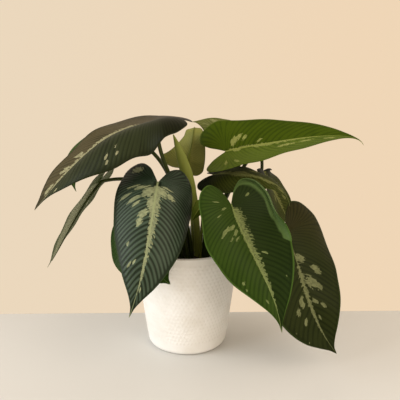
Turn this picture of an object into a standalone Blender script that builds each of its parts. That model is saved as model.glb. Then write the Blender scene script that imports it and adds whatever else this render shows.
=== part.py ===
"""Potted drop tongue plant: a white turned pot, its soil and thirteen leaves, each one grown with its
own stem, round one new leaf that is still rolled. Units are metres, +Z is up, and the origin is the
middle of the pot's flat underside. The front of the plant looks along -Y."""

import math
from dataclasses import dataclass

import bmesh
import bpy
import numpy as np

# Pot and soil
POT_HEIGHT = 0.149
POT_RIM_RADIUS = 0.075
POT_FOOT_RADIUS = 0.056
POT_WALL = 0.005
POT_FLOOR = 0.008
POT_FOOT_ROUNDING = 0.007
POT_RIM_ROUNDING = 0.0016
ROUNDING_STEPS = 4
SHARP_ANGLE = math.radians(40)
POT_SEGMENTS = 64

SOIL_TOP = 0.123
SOIL_DOME = 0.003
SOIL_SHOULDER = (0.55, 0.7)  # shares of the soil's radius and of its dome
SOIL_SEGMENTS = 48
CLEARANCE = 0.0004
HOLE_CLEARANCE = 0.001
MERGE_DISTANCE = 0.000001

# Leaves
BLADE_THICKNESS = 0.0008
BLADE_ROWS = 16
BLADE_COLUMNS = (0.0, 0.36, 0.7, 1.0)
CURLED_COLUMNS = (0.0, 0.4, 0.72, 0.86, 0.91, 0.955, 1.0)
EDGE_WAVE = 0.0015
EDGE_WAVES = 3
RIGHT_WAVE_SHIFT = 1.7
TIP_POWER = 8
RIB_STEPS = 80
LOBE_BEND_REACH = 0.2
CURL_STEP = 0.04
CURL_EASE = 0.8
LEAST_CURL = 0.001

# Side veins run from the midrib to the margin; they leave it steeply and bend towards the tip
VEIN_LEAN = 0.25
VEIN_SPREAD = 0.6

STEM_FOOT_DEPTH = 0.112
STEM_RADIUS_LOW = 0.0036
STEM_RADIUS_TOP = 0.0023
YOUNG_STEM_SHARE = 0.6
YOUNG_HALF_WIDTH = 0.01
KEEL_START = 0.03
KEEL_END = 0.62
KEEL_END_RADIUS = 0.0007
KEEL_STEPS = 6
STEM_STEPS = 12
ROUND_EDGES = 2  # a bevelled curve has 4 sides and 2 more for each of these
HOLE_ROUND_EDGES = 3
HOLE_BOTTOM = 0.108

# Half of a heart-shaped blade with a drawn-out tip, from the notch round the lobe to the tip: along the
# midrib in lobe lengths behind the notch and in blade lengths before it, and out in half widths
HALF_OUTLINE = (
    (0.0, 0.0), (-0.30, 0.10), (-0.72, 0.26), (-1.0, 0.50), (-0.86, 0.76), (-0.30, 0.95), (0.12, 1.0),
    (0.30, 0.93), (0.48, 0.78), (0.64, 0.56), (0.77, 0.33), (0.86, 0.15), (0.93, 0.045), (1.0, 0.0),
)
OUTLINE_CHORD_SCALE = 0.3

# Finishes
POT_WHITE = (0.86, 0.85, 0.83)
SOIL_BROWN = (0.045, 0.032, 0.022)
LEAF_GREEN = (0.055, 0.105, 0.045)
LEAF_BRIGHT = (0.16, 0.24, 0.06)
NEW_LEAF_GREEN = (0.30, 0.36, 0.12)


@dataclass(frozen=True)
class Leaf:
    """One leaf. The midrib runs from base to tip through two handles. A facing is the direction that the
    upper side looks to: degrees round from the front towards +X, and degrees up. Left and right are as
    seen on the upper side with the tip down. Fullness widens the middle of a half, and bluntness its
    end. A curl rolls the right margin up: it names the first and last place, the degrees, and where on
    the way out it starts."""

    name: str
    base: tuple
    base_handle: tuple
    tip_handle: tuple
    tip: tuple
    base_facing: tuple
    tip_facing: tuple
    half_widths: tuple
    folds: tuple
    arches: tuple
    lobe: float
    lobe_bend: float
    foot: tuple
    foot_handle: tuple
    stem_handle: tuple
    color: tuple = LEAF_GREEN
    wave: float = EDGE_WAVE
    curl: tuple = ()
    fullness: tuple = (0.0, 0.0)
    bluntness: tuple = (0.0, 0.0)


LEAVES = (
    Leaf("leaf_high_left", (-0.033, -0.017, 0.322), (-0.092, -0.021, 0.309), (-0.109, -0.053, 0.313),
         (-0.195, -0.058, 0.2115), (-42, 112), (-59, 52), (0.049, 0.062), (18, 8), (1, 82), 0.18, 46,
         (0.006, -0.006), (0.008, -0.006, 0.215), (-0.056, -0.012, 0.282), wave=0.0024,
         fullness=(-0.11, 0.10), bluntness=(5.0, 0.3)),
    Leaf("leaf_back_left", (-0.085, 0.042, 0.290), (-0.127, 0.058, 0.285), (-0.190, 0.078, 0.258),
         (-0.171, 0.090, 0.199), (-26, 62), (-10, 38), (0.052, 0.044), (4, 12), (34, 25), 0.15, 10,
         (-0.001, 0.012), (-0.003, 0.014, 0.215), (-0.032, 0.014, 0.284), LEAF_BRIGHT),
    Leaf("leaf_left_hanging", (-0.120, 0.011, 0.235), (-0.157, 0.004, 0.193), (-0.1745, 0.004, 0.147),
         (-0.206, 0.023, 0.101), (-89, 14), (-99, -3), (0.043, 0.043), (7, 19), (31, 24), 0.14, 2,
         (-0.007, 0.002), (-0.010, 0.002, 0.236), (-0.072, 0.002, 0.247), fullness=(-0.04, -0.05)),
    Leaf("leaf_front_left", (-0.037, -0.057, 0.247), (-0.043, -0.093, 0.216), (-0.048, -0.125, 0.157),
         (-0.070, -0.137, 0.099), (-2, 43), (-8, 22), (0.058, 0.057), (5, -3), (50, 72), 0.22, 19,
         (0.003, -0.018), (-0.004, -0.022, 0.193), (-0.042, -0.018, 0.243)),
    Leaf("leaf_front_left_low", (-0.056, -0.046, 0.190), (-0.058, -0.070, 0.152), (-0.040, -0.090, 0.136),
         (-0.021, -0.100, 0.126), (-20, 30), (15, 8), (0.052, 0.050), (5, 6), (36, 32), 0.16, 10,
         (-0.003, -0.010), (-0.012, -0.012, 0.165), (-0.046, -0.016, 0.197), fullness=(0.08, 0.2),
         bluntness=(0.5, 2.2)),
    Leaf("leaf_front_right", (0.056, -0.068, 0.221), (0.074, -0.093, 0.166), (0.105, -0.132, 0.140),
         (0.113, -0.148, 0.083), (60, 46), (3, 24), (0.049, 0.064), (8, 16), (56, -20), 0.18, 22,
         (0.027, -0.018), (0.031, -0.022, 0.180), (0.034, -0.046, 0.222), curl=(0.05, 0.60, 220, 0.86),
         fullness=(0.16, 0.0)),
    Leaf("leaf_low_right", (0.132, -0.038, 0.174), (0.153, -0.055, 0.134), (0.150, -0.108, 0.085),
         (0.199, -0.088, 0.020), (39, 35), (15, -22), (0.066, 0.068), (17, 18), (20, 34), 0.19, 9,
         (0.036, -0.009), (0.046, -0.010, 0.172), (0.104, -0.012, 0.186), fullness=(0.22, -0.02),
         bluntness=(1.4, 0.0)),
    Leaf("leaf_high_right", (0.055, 0.021, 0.274), (0.101, 0.024, 0.283), (0.2315, 0.007, 0.3145),
         (0.239, -0.0075, 0.287), (7, 55), (25, 63), (0.054, 0.054), (6, 14), (-31, 9), 0.16, 24,
         (0.025, 0.006), (0.029, 0.026, 0.205), (0.053, 0.060, 0.244), LEAF_BRIGHT,
         fullness=(0.01, -0.17), bluntness=(-0.9, -0.4)),
    Leaf("leaf_centre_right", (0.037, 0.011, 0.243), (0.067, -0.010, 0.250), (0.131, -0.025, 0.252),
         (0.138, -0.032, 0.208), (45, 42), (72, 22), (0.033, 0.027), (-10, 3), (18, 22), 0.15, 10,
         (0.023, -0.008), (0.027, -0.006, 0.190), (0.030, 0.004, 0.216)),
    Leaf("leaf_back_right", (0.111, 0.042, 0.242), (0.117, 0.035, 0.2255), (0.144, 0.052, 0.186),
         (0.160, 0.061, 0.147), (67, 35), (26, 8), (0.035, 0.0365), (20, 18), (26, 40), 0.02, 20,
         (0.038, 0.006), (0.050, 0.018, 0.262), (0.112, 0.043, 0.320)),
    Leaf("leaf_back", (0.106, 0.086, 0.284), (0.069, 0.0865, 0.280), (0.030, 0.093, 0.310),
         (0.0075, 0.079, 0.3085), (1, 62), (-7, 33), (0.030, 0.033), (12, -2), (32, 32), 0.14, 10,
         (0.033, 0.024), (0.046, 0.050, 0.225), (0.110, 0.094, 0.250), LEAF_BRIGHT, fullness=(0.05, 0.09)),
    Leaf("leaf_middle", (-0.001, 0.057, 0.244), (0.008, 0.050, 0.268), (0.012, 0.060, 0.320),
         (0.012, 0.098, 0.292), (172, 11), (0, -50), (0.044, 0.026), (12, 10), (0, 0), 0.10, 4,
         (0.010, 0.017), (0.010, 0.020, 0.170), (0.006, 0.056, 0.190), LEAF_BRIGHT,
         fullness=(-0.45, -0.12), bluntness=(0.5, 0.5)),
    Leaf("leaf_young", (0.021, -0.032, 0.212), (0.017, -0.037, 0.208), (0.010, -0.041, 0.200),
         (0.006, -0.042, 0.190), (10, 50), (0, 20), (0.009, 0.009), (15, 15), (20, 20), 0.12, 10,
         (0.018, -0.020), (0.019, -0.021, 0.170), (0.022, -0.026, 0.196), LEAF_BRIGHT, 0.0003),
)

# The new leaf: its path, and its width and depth along it
NEW_LEAF_PATH = ((0.014, 0.002, STEM_FOOT_DEPTH), (0.018, 0.001, 0.180), (0.006, 0.000, 0.240),
                 (-0.018, -0.004, 0.301))
NEW_LEAF_PLACES = (0.0, 0.10, 0.40, 0.60, 0.72, 0.84, 0.93, 1.0)
NEW_LEAF_HALF_WIDTHS = (0.0044, 0.0044, 0.0050, 0.0088, 0.0092, 0.0072, 0.0040, 0.0008)
NEW_LEAF_HALF_DEPTHS = (0.0044, 0.0044, 0.0046, 0.0056, 0.0052, 0.0040, 0.0024, 0.0006)
NEW_LEAF_SIDES = 12
NEW_LEAF_STEPS = 18

LEAF_ROUGHNESS = 0.42
NEW_LEAF_ROUGHNESS = 0.4
POT_ROUGHNESS = 0.45
SOIL_ROUGHNESS = 0.95


def unit(vectors):
    """Vectors scaled to length one."""
    vectors = np.asarray(vectors, float)
    return vectors / np.maximum(np.linalg.norm(vectors, axis=-1, keepdims=True), 1e-12)


def bezier(points, places):
    """Points of a cubic curve at places from 0 to 1."""
    a, b, c, d = (np.asarray(point, float) for point in points)
    t = np.asarray(places, float)[..., None]
    return (1 - t) ** 3 * a + 3 * (1 - t) ** 2 * t * b + 3 * (1 - t) * t * t * c + t ** 3 * d


def facing_direction(facing):
    """The direction for degrees round from the front and degrees up."""
    around, up = math.radians(facing[0]), math.radians(facing[1])
    return np.array((math.sin(around) * math.cos(up), -math.cos(around) * math.cos(up), math.sin(up)))


def outline(places, lobe):
    """The half outline at places from 0, the notch, to 1, the tip, on one smooth curve."""
    points = np.array(HALF_OUTLINE)
    points[:, 0] = np.where(points[:, 0] < 0, points[:, 0] * lobe, points[:, 0])
    chords = np.diff(points * (1.0, OUTLINE_CHORD_SCALE), axis=0)
    knots = np.concatenate(((0.0,), np.cumsum(np.linalg.norm(chords, axis=1))))
    knots /= knots[-1]
    slopes = np.gradient(points, knots, axis=0)
    places = np.clip(np.asarray(places, float), 0.0, 1.0)
    i = np.clip(np.searchsorted(knots, places, side="right") - 1, 0, len(knots) - 2)
    step = knots[i + 1] - knots[i]
    w = (places - knots[i]) / step
    start = (2 * w ** 3 - 3 * w ** 2 + 1)[..., None]
    leave = ((w ** 3 - 2 * w ** 2 + w) * step)[..., None]
    end = (3 * w ** 2 - 2 * w ** 3)[..., None]
    arrive = ((w ** 3 - w ** 2) * step)[..., None]
    return start * points[i] + leave * slopes[i] + end * points[i + 1] + arrive * slopes[i + 1]


class Blade:
    """The middle surface of one leaf's blade."""

    def __init__(self, leaf):
        self.leaf = leaf
        spine = (leaf.base, leaf.base_handle, leaf.tip_handle, leaf.tip)
        self.rib = bezier(spine, np.linspace(0, 1, RIB_STEPS))
        steps = np.linalg.norm(np.diff(self.rib, axis=0), axis=1)
        self.along = np.concatenate(((0.0,), np.cumsum(steps)))
        self.length = self.along[-1]
        self.heading = unit(np.gradient(self.rib, self.along, axis=0))
        self.base_up = facing_direction(leaf.base_facing)
        self.tip_up = facing_direction(leaf.tip_facing)

    def frame(self, along):
        """Point, upper direction and left direction at distances along the midrib; behind the notch it
        runs on and bends down by the lobe's bend."""
        inside = np.clip(along, 0, self.length)
        point = np.stack([np.interp(inside, self.along, self.rib[:, k]) for k in range(3)], -1)
        heading = unit(np.stack([np.interp(inside, self.along, self.heading[:, k]) for k in range(3)], -1))
        share = (inside / self.length)[..., None]
        share = share * share * (3 - 2 * share)
        up = unit(self.base_up * (1 - share) + self.tip_up * share)
        up = unit(up - (up * heading).sum(-1, keepdims=True) * heading)
        left = np.cross(heading, up)
        behind = np.minimum(along, 0.0)
        bend = math.radians(self.leaf.lobe_bend) * (-behind / (LOBE_BEND_REACH * self.length))[..., None]
        point = point + (heading * np.cos(bend / 2) + up * np.sin(bend / 2)) * behind[..., None]
        return point, up * np.cos(bend) - heading * np.sin(bend), left

    def flat(self, side, place, out):
        """Distances along and out from the midrib, along side veins that lean towards the tip."""
        half = 0 if side > 0 else 1
        edge = outline(place, self.leaf.lobe)
        before = np.clip(edge[..., 0], 0, 1)
        swell = 1 + self.leaf.fullness[half] * np.sin(math.pi * before)
        swell = swell + self.leaf.bluntness[half] * before ** TIP_POWER
        edge_along = edge[..., 0] * self.length
        edge_out = edge[..., 1] * self.leaf.half_widths[half] * swell
        start = self.length * before ** 2
        middle_along = start + VEIN_LEAN * (edge_along - start)
        a, b, c = (1 - out) ** 2, 2 * out * (1 - out), out ** 2
        return a * start + b * middle_along + c * edge_along, (b * VEIN_SPREAD + c) * edge_out

    def plain_point(self, side, place, out):
        """Points and upper directions of the blade before its edge is curled."""
        index = 0 if side > 0 else 1
        width = self.leaf.half_widths[index]
        along, across = self.flat(side, place, out)
        point, up, left = self.frame(along)
        slope = np.radians(self.leaf.folds[index] - self.leaf.arches[index] * across / width / 2)
        shift = 0.0 if side > 0 else RIGHT_WAVE_SHIFT
        wave = np.sin(2 * math.pi * EDGE_WAVES * along / self.length + shift)
        lift = across * np.sin(slope) + self.leaf.wave * (across / width) ** 2 * wave
        return point + side * left * (across * np.cos(slope))[..., None] + up * lift[..., None], up

    def point(self, side, place, out):
        """Points of the blade; side is 1 on the left half and -1 on the right."""
        place, out = np.broadcast_arrays(np.asarray(place, float), np.asarray(out, float))
        flat_point, _ = self.plain_point(side, place, out)
        if side > 0 or not self.leaf.curl:
            return flat_point
        first, last, degrees, start = self.leaf.curl
        share = np.clip((place - first) / (last - first), 0, 1)
        turn = np.maximum(math.radians(degrees) * np.sin(math.pi * share) ** CURL_EASE, LEAST_CURL)
        root, up = self.plain_point(side, place, np.full_like(out, start))
        before, _ = self.plain_point(side, place, np.full_like(out, start - CURL_STEP))
        edge, _ = self.plain_point(side, place, np.ones_like(out))
        outward = unit(root - before)
        up = unit(up - (up * outward).sum(-1, keepdims=True) * outward)
        radius = np.linalg.norm(edge - root, axis=-1) / turn
        angle = turn * np.clip((out - start) / (1 - start), 0, 1)
        rolled = root + outward * (radius * np.sin(angle))[..., None]
        rolled = rolled + up * (radius * (1 - np.cos(angle)))[..., None]
        in_roll = ((out > start) & (share > 0) & (share < 1))[..., None]
        return np.where(in_roll, rolled, flat_point)


def add_object(name, mesh_data, color, roughness):
    """A new object with its own plain finish."""
    finish = bpy.data.materials.new(name + "_finish")
    finish.use_nodes = True
    shader = finish.node_tree.nodes["Principled BSDF"]
    shader.inputs["Base Color"].default_value = (*color, 1.0)
    shader.inputs["Roughness"].default_value = roughness
    shader.inputs["Metallic"].default_value = 0.0
    mesh_data.materials.append(finish)
    thing = bpy.data.objects.new(name, mesh_data)
    bpy.context.scene.collection.objects.link(thing)
    return thing


def mesh_from(name, points, faces):
    """A mesh from points and faces, shaded smooth."""
    mesh_data = bpy.data.meshes.new(name)
    mesh_data.from_pydata([tuple(point) for point in points], [], faces)
    mesh_data.validate()
    mesh_data.shade_smooth()
    return mesh_data


def triangle_pieces(corners):
    """A four-cornered cell as triangles, without the ones that have lost a side."""
    a, b, c, d = corners
    return [face for face in ((a, b, c), (a, c, d)) if len(set(face)) == 3]


def blade_mesh(blade):
    """The blade's middle surface in triangles; the two halves share the midrib, the notch and the tip."""
    places = np.linspace(0, 1, BLADE_ROWS + 1)
    points, faces, numbers = [], [], {}

    def number(side, row, column, grid):
        """The vertex of a grid place."""
        if column == 0 or row in (0, BLADE_ROWS):
            spot = grid[row, column]
            key = tuple(round(float(value), 7) for value in spot)
        else:
            key = (side, row, column)
        if key not in numbers:
            numbers[key] = len(points)
            points.append(grid[row, column])
        return numbers[key]

    for side in (1, -1):
        curled = side < 0 and blade.leaf.curl
        columns = np.array(CURLED_COLUMNS if curled else BLADE_COLUMNS)
        grid = blade.point(side, places[:, None], columns[None, :])
        for row in range(BLADE_ROWS):
            for column in range(len(columns) - 1):
                cell = [number(side, row, column, grid), number(side, row + 1, column, grid),
                        number(side, row + 1, column + 1, grid), number(side, row, column + 1, grid)]
                cell_faces = triangle_pieces(cell)
                faces += cell_faces if side < 0 else [face[::-1] for face in cell_faces]

    return mesh_from(blade.leaf.name, points, faces)


def stem_path(blade):
    """Centre line and radii of the stem, which runs on under the midrib as a keel."""
    leaf = blade.leaf
    (base,), (up,), _ = blade.frame(np.array((0.0,)))
    foot = (*leaf.foot, STEM_FOOT_DEPTH)
    top = base - up * (STEM_RADIUS_TOP - BLADE_THICKNESS / 4)
    stem = bezier((foot, leaf.foot_handle, leaf.stem_handle, top), np.linspace(0, 1, STEM_STEPS + 1))
    stem_radii = np.linspace(STEM_RADIUS_LOW, STEM_RADIUS_TOP, STEM_STEPS + 1)
    if leaf.half_widths[0] < YOUNG_HALF_WIDTH:
        stem_radii = stem_radii * YOUNG_STEM_SHARE
    ribs = blade.length * np.linspace(KEEL_START, KEEL_END, KEEL_STEPS)
    points, ups, _ = blade.frame(ribs)
    keel_radii = np.linspace(stem_radii[-1], KEEL_END_RADIUS, KEEL_STEPS + 1)[1:]
    keel = points - ups * (keel_radii - BLADE_THICKNESS / 4)[:, None]
    return np.vstack((stem, keel)), np.concatenate((stem_radii, keel_radii))


def plain_mesh(thing):
    """The mesh that an object shows, with its modifiers or its bevel worked in."""
    bpy.context.view_layer.update()
    return bpy.data.meshes.new_from_object(thing.evaluated_get(bpy.context.evaluated_depsgraph_get()))


def tube_mesh(name, path, radii, round_edges):
    """A closed round tube along a path, from a bevelled curve."""
    curve = bpy.data.curves.new(name, "CURVE")
    curve.dimensions = "3D"
    curve.bevel_depth = 1.0
    curve.bevel_resolution = round_edges
    curve.use_fill_caps = True
    spline = curve.splines.new("POLY")
    spline.points.add(len(path) - 1)
    for point, place, radius in zip(spline.points, path, radii):
        point.co = (*place, 1.0)
        point.radius = radius
    rod = bpy.data.objects.new(name, curve)
    bpy.context.scene.collection.objects.link(rod)
    tube = plain_mesh(rod)
    bpy.data.objects.remove(rod)
    closed = bmesh.new()
    closed.from_mesh(tube)
    bmesh.ops.remove_doubles(closed, verts=closed.verts, dist=MERGE_DISTANCE)
    bmesh.ops.recalc_face_normals(closed, faces=closed.faces)
    closed.to_mesh(tube)
    closed.free()
    tube.shade_smooth()
    return tube


def apply_boolean(thing, other, operation):
    """Cut another object from a thing or join it on, and keep the plain result."""
    cut = thing.modifiers.new(operation.lower(), "BOOLEAN")
    cut.operation = operation
    cut.solver = "EXACT"
    cut.object = other
    result = plain_mesh(thing)
    thing.modifiers.remove(cut)
    thing.data = result
    bpy.data.objects.remove(other)


def thicken(thing, thickness):
    """Give a surface its thickness, half of it on each side."""
    solid = thing.modifiers.new("thickness", "SOLIDIFY")
    solid.thickness = thickness
    solid.offset = 0.0
    result = plain_mesh(thing)
    thing.modifiers.remove(solid)
    thing.data = result


def add_leaf(leaf):
    """One leaf: its blade, with its stem and keel grown on."""
    blade = Blade(leaf)
    thing = add_object(leaf.name, blade_mesh(blade), leaf.color, LEAF_ROUGHNESS)
    thicken(thing, BLADE_THICKNESS)
    path, radii = stem_path(blade)
    stem_name = leaf.name + "_stem"
    stem = add_object(stem_name, tube_mesh(stem_name, path, radii, ROUND_EDGES), leaf.color, LEAF_ROUGHNESS)
    apply_boolean(thing, stem, "UNION")
    return thing


def add_new_leaf():
    """The youngest leaf, still rolled into a spindle on its stout stalk."""
    places = np.linspace(0, 1, NEW_LEAF_STEPS + 1)
    path = bezier(NEW_LEAF_PATH, places)
    heading = unit(np.gradient(path, axis=0))
    widths = np.interp(places, NEW_LEAF_PLACES, NEW_LEAF_HALF_WIDTHS)
    depths = np.interp(places, NEW_LEAF_PLACES, NEW_LEAF_HALF_DEPTHS)
    turns = 2 * math.pi * np.arange(NEW_LEAF_SIDES) / NEW_LEAF_SIDES
    spindle = bmesh.new()
    rings = []
    for centre, forward, width, depth in zip(path, heading, widths, depths):
        across = unit(np.cross(forward, (0.0, 1.0, 0.0)))
        second = np.cross(forward, across)
        ring = [centre + width * math.cos(turn) * across + depth * math.sin(turn) * second for turn in turns]
        rings.append([spindle.verts.new(place) for place in ring])
    edges = [[spindle.edges.new((a, b)) for a, b in zip(ring, ring[1:] + ring[:1])] for ring in rings]
    for low, high in zip(edges, edges[1:]):
        bmesh.ops.bridge_loops(spindle, edges=low + high)
    for ring in (rings[0], rings[-1]):
        spindle.faces.new(ring)
    bmesh.ops.recalc_face_normals(spindle, faces=spindle.faces)
    mesh_data = bpy.data.meshes.new("new_leaf")
    spindle.to_mesh(mesh_data)
    spindle.free()
    mesh_data.shade_smooth()
    return add_object("new_leaf", mesh_data, NEW_LEAF_GREEN, NEW_LEAF_ROUGHNESS)


def turned_mesh(name, profile, segments):
    """A solid turned round the Z axis from a profile of (radius, height) that starts and ends on it."""
    turning = bmesh.new()
    verts = [turning.verts.new((radius, 0.0, height)) for radius, height in profile]
    edges = [turning.edges.new(pair) for pair in zip(verts, verts[1:])]
    bmesh.ops.spin(turning, geom=verts + edges, cent=(0, 0, 0), axis=(0, 0, 1), angle=2 * math.pi,
                   steps=segments)
    bmesh.ops.remove_doubles(turning, verts=turning.verts, dist=MERGE_DISTANCE)
    bmesh.ops.recalc_face_normals(turning, faces=turning.faces)
    mesh_data = bpy.data.meshes.new(name)
    turning.to_mesh(mesh_data)
    turning.free()
    mesh_data.shade_smooth()
    return mesh_data


def quarter_round(centre, radius, start_degrees, end_degrees):
    """Points of an arc on a turned profile."""
    turns = np.radians(np.linspace(start_degrees, end_degrees, ROUNDING_STEPS + 1))
    return [(centre[0] + radius * math.cos(turn), centre[1] + radius * math.sin(turn)) for turn in turns]


def wall_radius(height):
    """Outer radius of the pot's straight tapered wall."""
    return POT_FOOT_RADIUS + (POT_RIM_RADIUS - POT_FOOT_RADIUS) * height / POT_HEIGHT


def add_pot():
    """The pot: a flat foot with a rounded edge, a tapered wall and a rounded rim, open at the top."""
    foot_edge = (wall_radius(POT_FOOT_ROUNDING) - POT_FOOT_ROUNDING, POT_FOOT_ROUNDING)
    rim_middle = POT_RIM_RADIUS - POT_RIM_ROUNDING
    inner_floor = wall_radius(POT_FLOOR) - POT_WALL
    profile = [(0.0, 0.0)]
    profile += quarter_round(foot_edge, POT_FOOT_ROUNDING, -90, 0)
    profile += [(wall_radius(POT_HEIGHT / 2), POT_HEIGHT / 2)]
    profile += quarter_round((rim_middle, POT_HEIGHT - POT_RIM_ROUNDING), POT_RIM_ROUNDING, 0, 90)
    profile += quarter_round((POT_RIM_RADIUS - POT_WALL + POT_RIM_ROUNDING, POT_HEIGHT - POT_RIM_ROUNDING),
                             POT_RIM_ROUNDING, 90, 180)
    profile += [(inner_floor, POT_FLOOR), (0.0, POT_FLOOR)]
    pot = add_object("pot", turned_mesh("pot", profile, POT_SEGMENTS), POT_WHITE, POT_ROUGHNESS)
    pot.data.set_sharp_from_angle(angle=SHARP_ANGLE)
    return pot


def inner_radius(height):
    """Inner radius of the pot at a height above its floor."""
    floor = wall_radius(POT_FLOOR) - POT_WALL
    rim = POT_RIM_RADIUS - POT_WALL
    return floor + (rim - floor) * (height - POT_FLOOR) / (POT_HEIGHT - POT_RIM_ROUNDING - POT_FLOOR)


def add_soil(feet):
    """The soil: it fills the pot to below the rim and has a plain hole for each stem."""
    bottom = POT_FLOOR + CLEARANCE
    profile = [(0.0, bottom), (inner_radius(bottom) - 2 * CLEARANCE, bottom)]
    profile += [(inner_radius(SOIL_TOP) - 2 * CLEARANCE, SOIL_TOP)]
    profile += [(inner_radius(SOIL_TOP) * SOIL_SHOULDER[0], SOIL_TOP + SOIL_DOME * SOIL_SHOULDER[1])]
    profile += [(0.0, SOIL_TOP + SOIL_DOME)]
    soil = add_object("soil", turned_mesh("soil", profile, SOIL_SEGMENTS), SOIL_BROWN, SOIL_ROUGHNESS)
    for i, (path, radius) in enumerate(feet):
        hole = tube_mesh("hole", path, np.full(len(path), radius), HOLE_ROUND_EDGES)
        cutter = add_object("hole_%02d" % i, hole, SOIL_BROWN, SOIL_ROUGHNESS)
        apply_boolean(soil, cutter, "DIFFERENCE")
    return soil


def hole_path(points):
    """The stretch of a stem that stands in the soil, run on a little below it and above the soil."""
    points = np.asarray(points, float)
    slope = (points[0] - points[1]) / (points[1][2] - points[0][2])
    bottom = points[0] + slope * (points[0][2] - HOLE_BOTTOM)
    heights = points[:, 2]
    top = int(np.argmax(heights > SOIL_TOP + 2 * SOIL_DOME)) + 1
    return np.vstack((bottom, points[:top]))


def main():
    """Build every piece."""
    for old in list(bpy.data.objects):
        bpy.data.objects.remove(old)
    feet = []
    for leaf in LEAVES:
        add_leaf(leaf)
        path, radii = stem_path(Blade(leaf))
        feet.append((hole_path(path), radii[0] + HOLE_CLEARANCE))
    add_new_leaf()
    new_path = bezier(NEW_LEAF_PATH, np.linspace(0, 1, NEW_LEAF_STEPS + 1))
    feet.append((hole_path(new_path), NEW_LEAF_HALF_WIDTHS[0] + HOLE_CLEARANCE))
    add_pot()
    add_soil(feet)


main()
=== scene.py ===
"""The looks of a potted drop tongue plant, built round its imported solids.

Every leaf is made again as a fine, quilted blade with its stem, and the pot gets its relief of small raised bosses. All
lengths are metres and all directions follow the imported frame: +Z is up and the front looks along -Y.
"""

import logging
import math
from dataclasses import dataclass
from enum import Enum
from typing import Optional, Sequence

import bpy
import numpy as np
from mathutils import Matrix, Vector


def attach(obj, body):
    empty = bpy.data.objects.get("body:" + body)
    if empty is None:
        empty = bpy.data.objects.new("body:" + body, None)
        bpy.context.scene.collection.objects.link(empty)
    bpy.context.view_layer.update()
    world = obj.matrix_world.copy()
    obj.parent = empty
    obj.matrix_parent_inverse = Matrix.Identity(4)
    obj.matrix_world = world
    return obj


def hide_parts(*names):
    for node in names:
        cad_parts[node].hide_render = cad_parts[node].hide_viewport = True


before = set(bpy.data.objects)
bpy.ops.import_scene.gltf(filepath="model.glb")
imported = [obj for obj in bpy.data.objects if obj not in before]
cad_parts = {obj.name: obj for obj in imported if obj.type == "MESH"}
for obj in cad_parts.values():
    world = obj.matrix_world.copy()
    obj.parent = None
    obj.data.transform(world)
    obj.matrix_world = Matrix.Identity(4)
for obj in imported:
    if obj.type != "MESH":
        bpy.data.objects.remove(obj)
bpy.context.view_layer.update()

LOG = logging.getLogger("potted_plant")

Point = tuple[float, float, float]
Pair = tuple[float, float]
Color = tuple[float, float, float]


class Half(Enum):
    """A half of a blade, as seen on its upper side with the tip down."""

    LEFT = 1
    RIGHT = -1


class Slot(Enum):
    """Names of the material slots."""

    POT = "pot"
    SOIL = "soil"
    LEAF_DARK = "leaf_dark"
    LEAF_BRIGHT = "leaf_bright"
    LEAF_NEW = "leaf_new"


class Layer(Enum):
    """The named values that a leaf's mesh carries for its finishes."""

    MARKING = "marking"
    RELIEF = "relief"
    RIB = "rib"
    FOLD = "fold"
    VEIN_MAP = "vein_map"


def unit(vectors: np.ndarray) -> np.ndarray:
    """Vectors scaled to length one."""
    vectors = np.asarray(vectors, float)
    return vectors / np.maximum(np.linalg.norm(vectors, axis=-1, keepdims=True), 1e-12)


def smooth_step(low: float, high: float, values: np.ndarray) -> np.ndarray:
    """0 below low, 1 above high, and a smooth rise between them."""
    share = np.clip((np.asarray(values, float) - low) / (high - low), 0, 1)
    return share * share * (3 - 2 * share)


def bezier(points: Sequence[Sequence[float]], places: np.ndarray) -> np.ndarray:
    """Points of a cubic curve.

    Args:
        points: the two ends and the two handles between them.
        places: where along the curve, from 0 to 1.

    Returns:
        One point for each place.
    """
    a, b, c, d = (np.asarray(point, float) for point in points)
    t = np.asarray(places, float)[..., None]
    return (1 - t) ** 3 * a + 3 * (1 - t) ** 2 * t * b + 3 * (1 - t) * t * t * c + t ** 3 * d


def facing_direction(facing: Pair) -> np.ndarray:
    """The direction for degrees round from the front towards +X, and degrees up."""
    around, up = math.radians(facing[0]), math.radians(facing[1])
    return np.array((math.sin(around) * math.cos(up), -math.cos(around) * math.cos(up), math.sin(up)))


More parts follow.
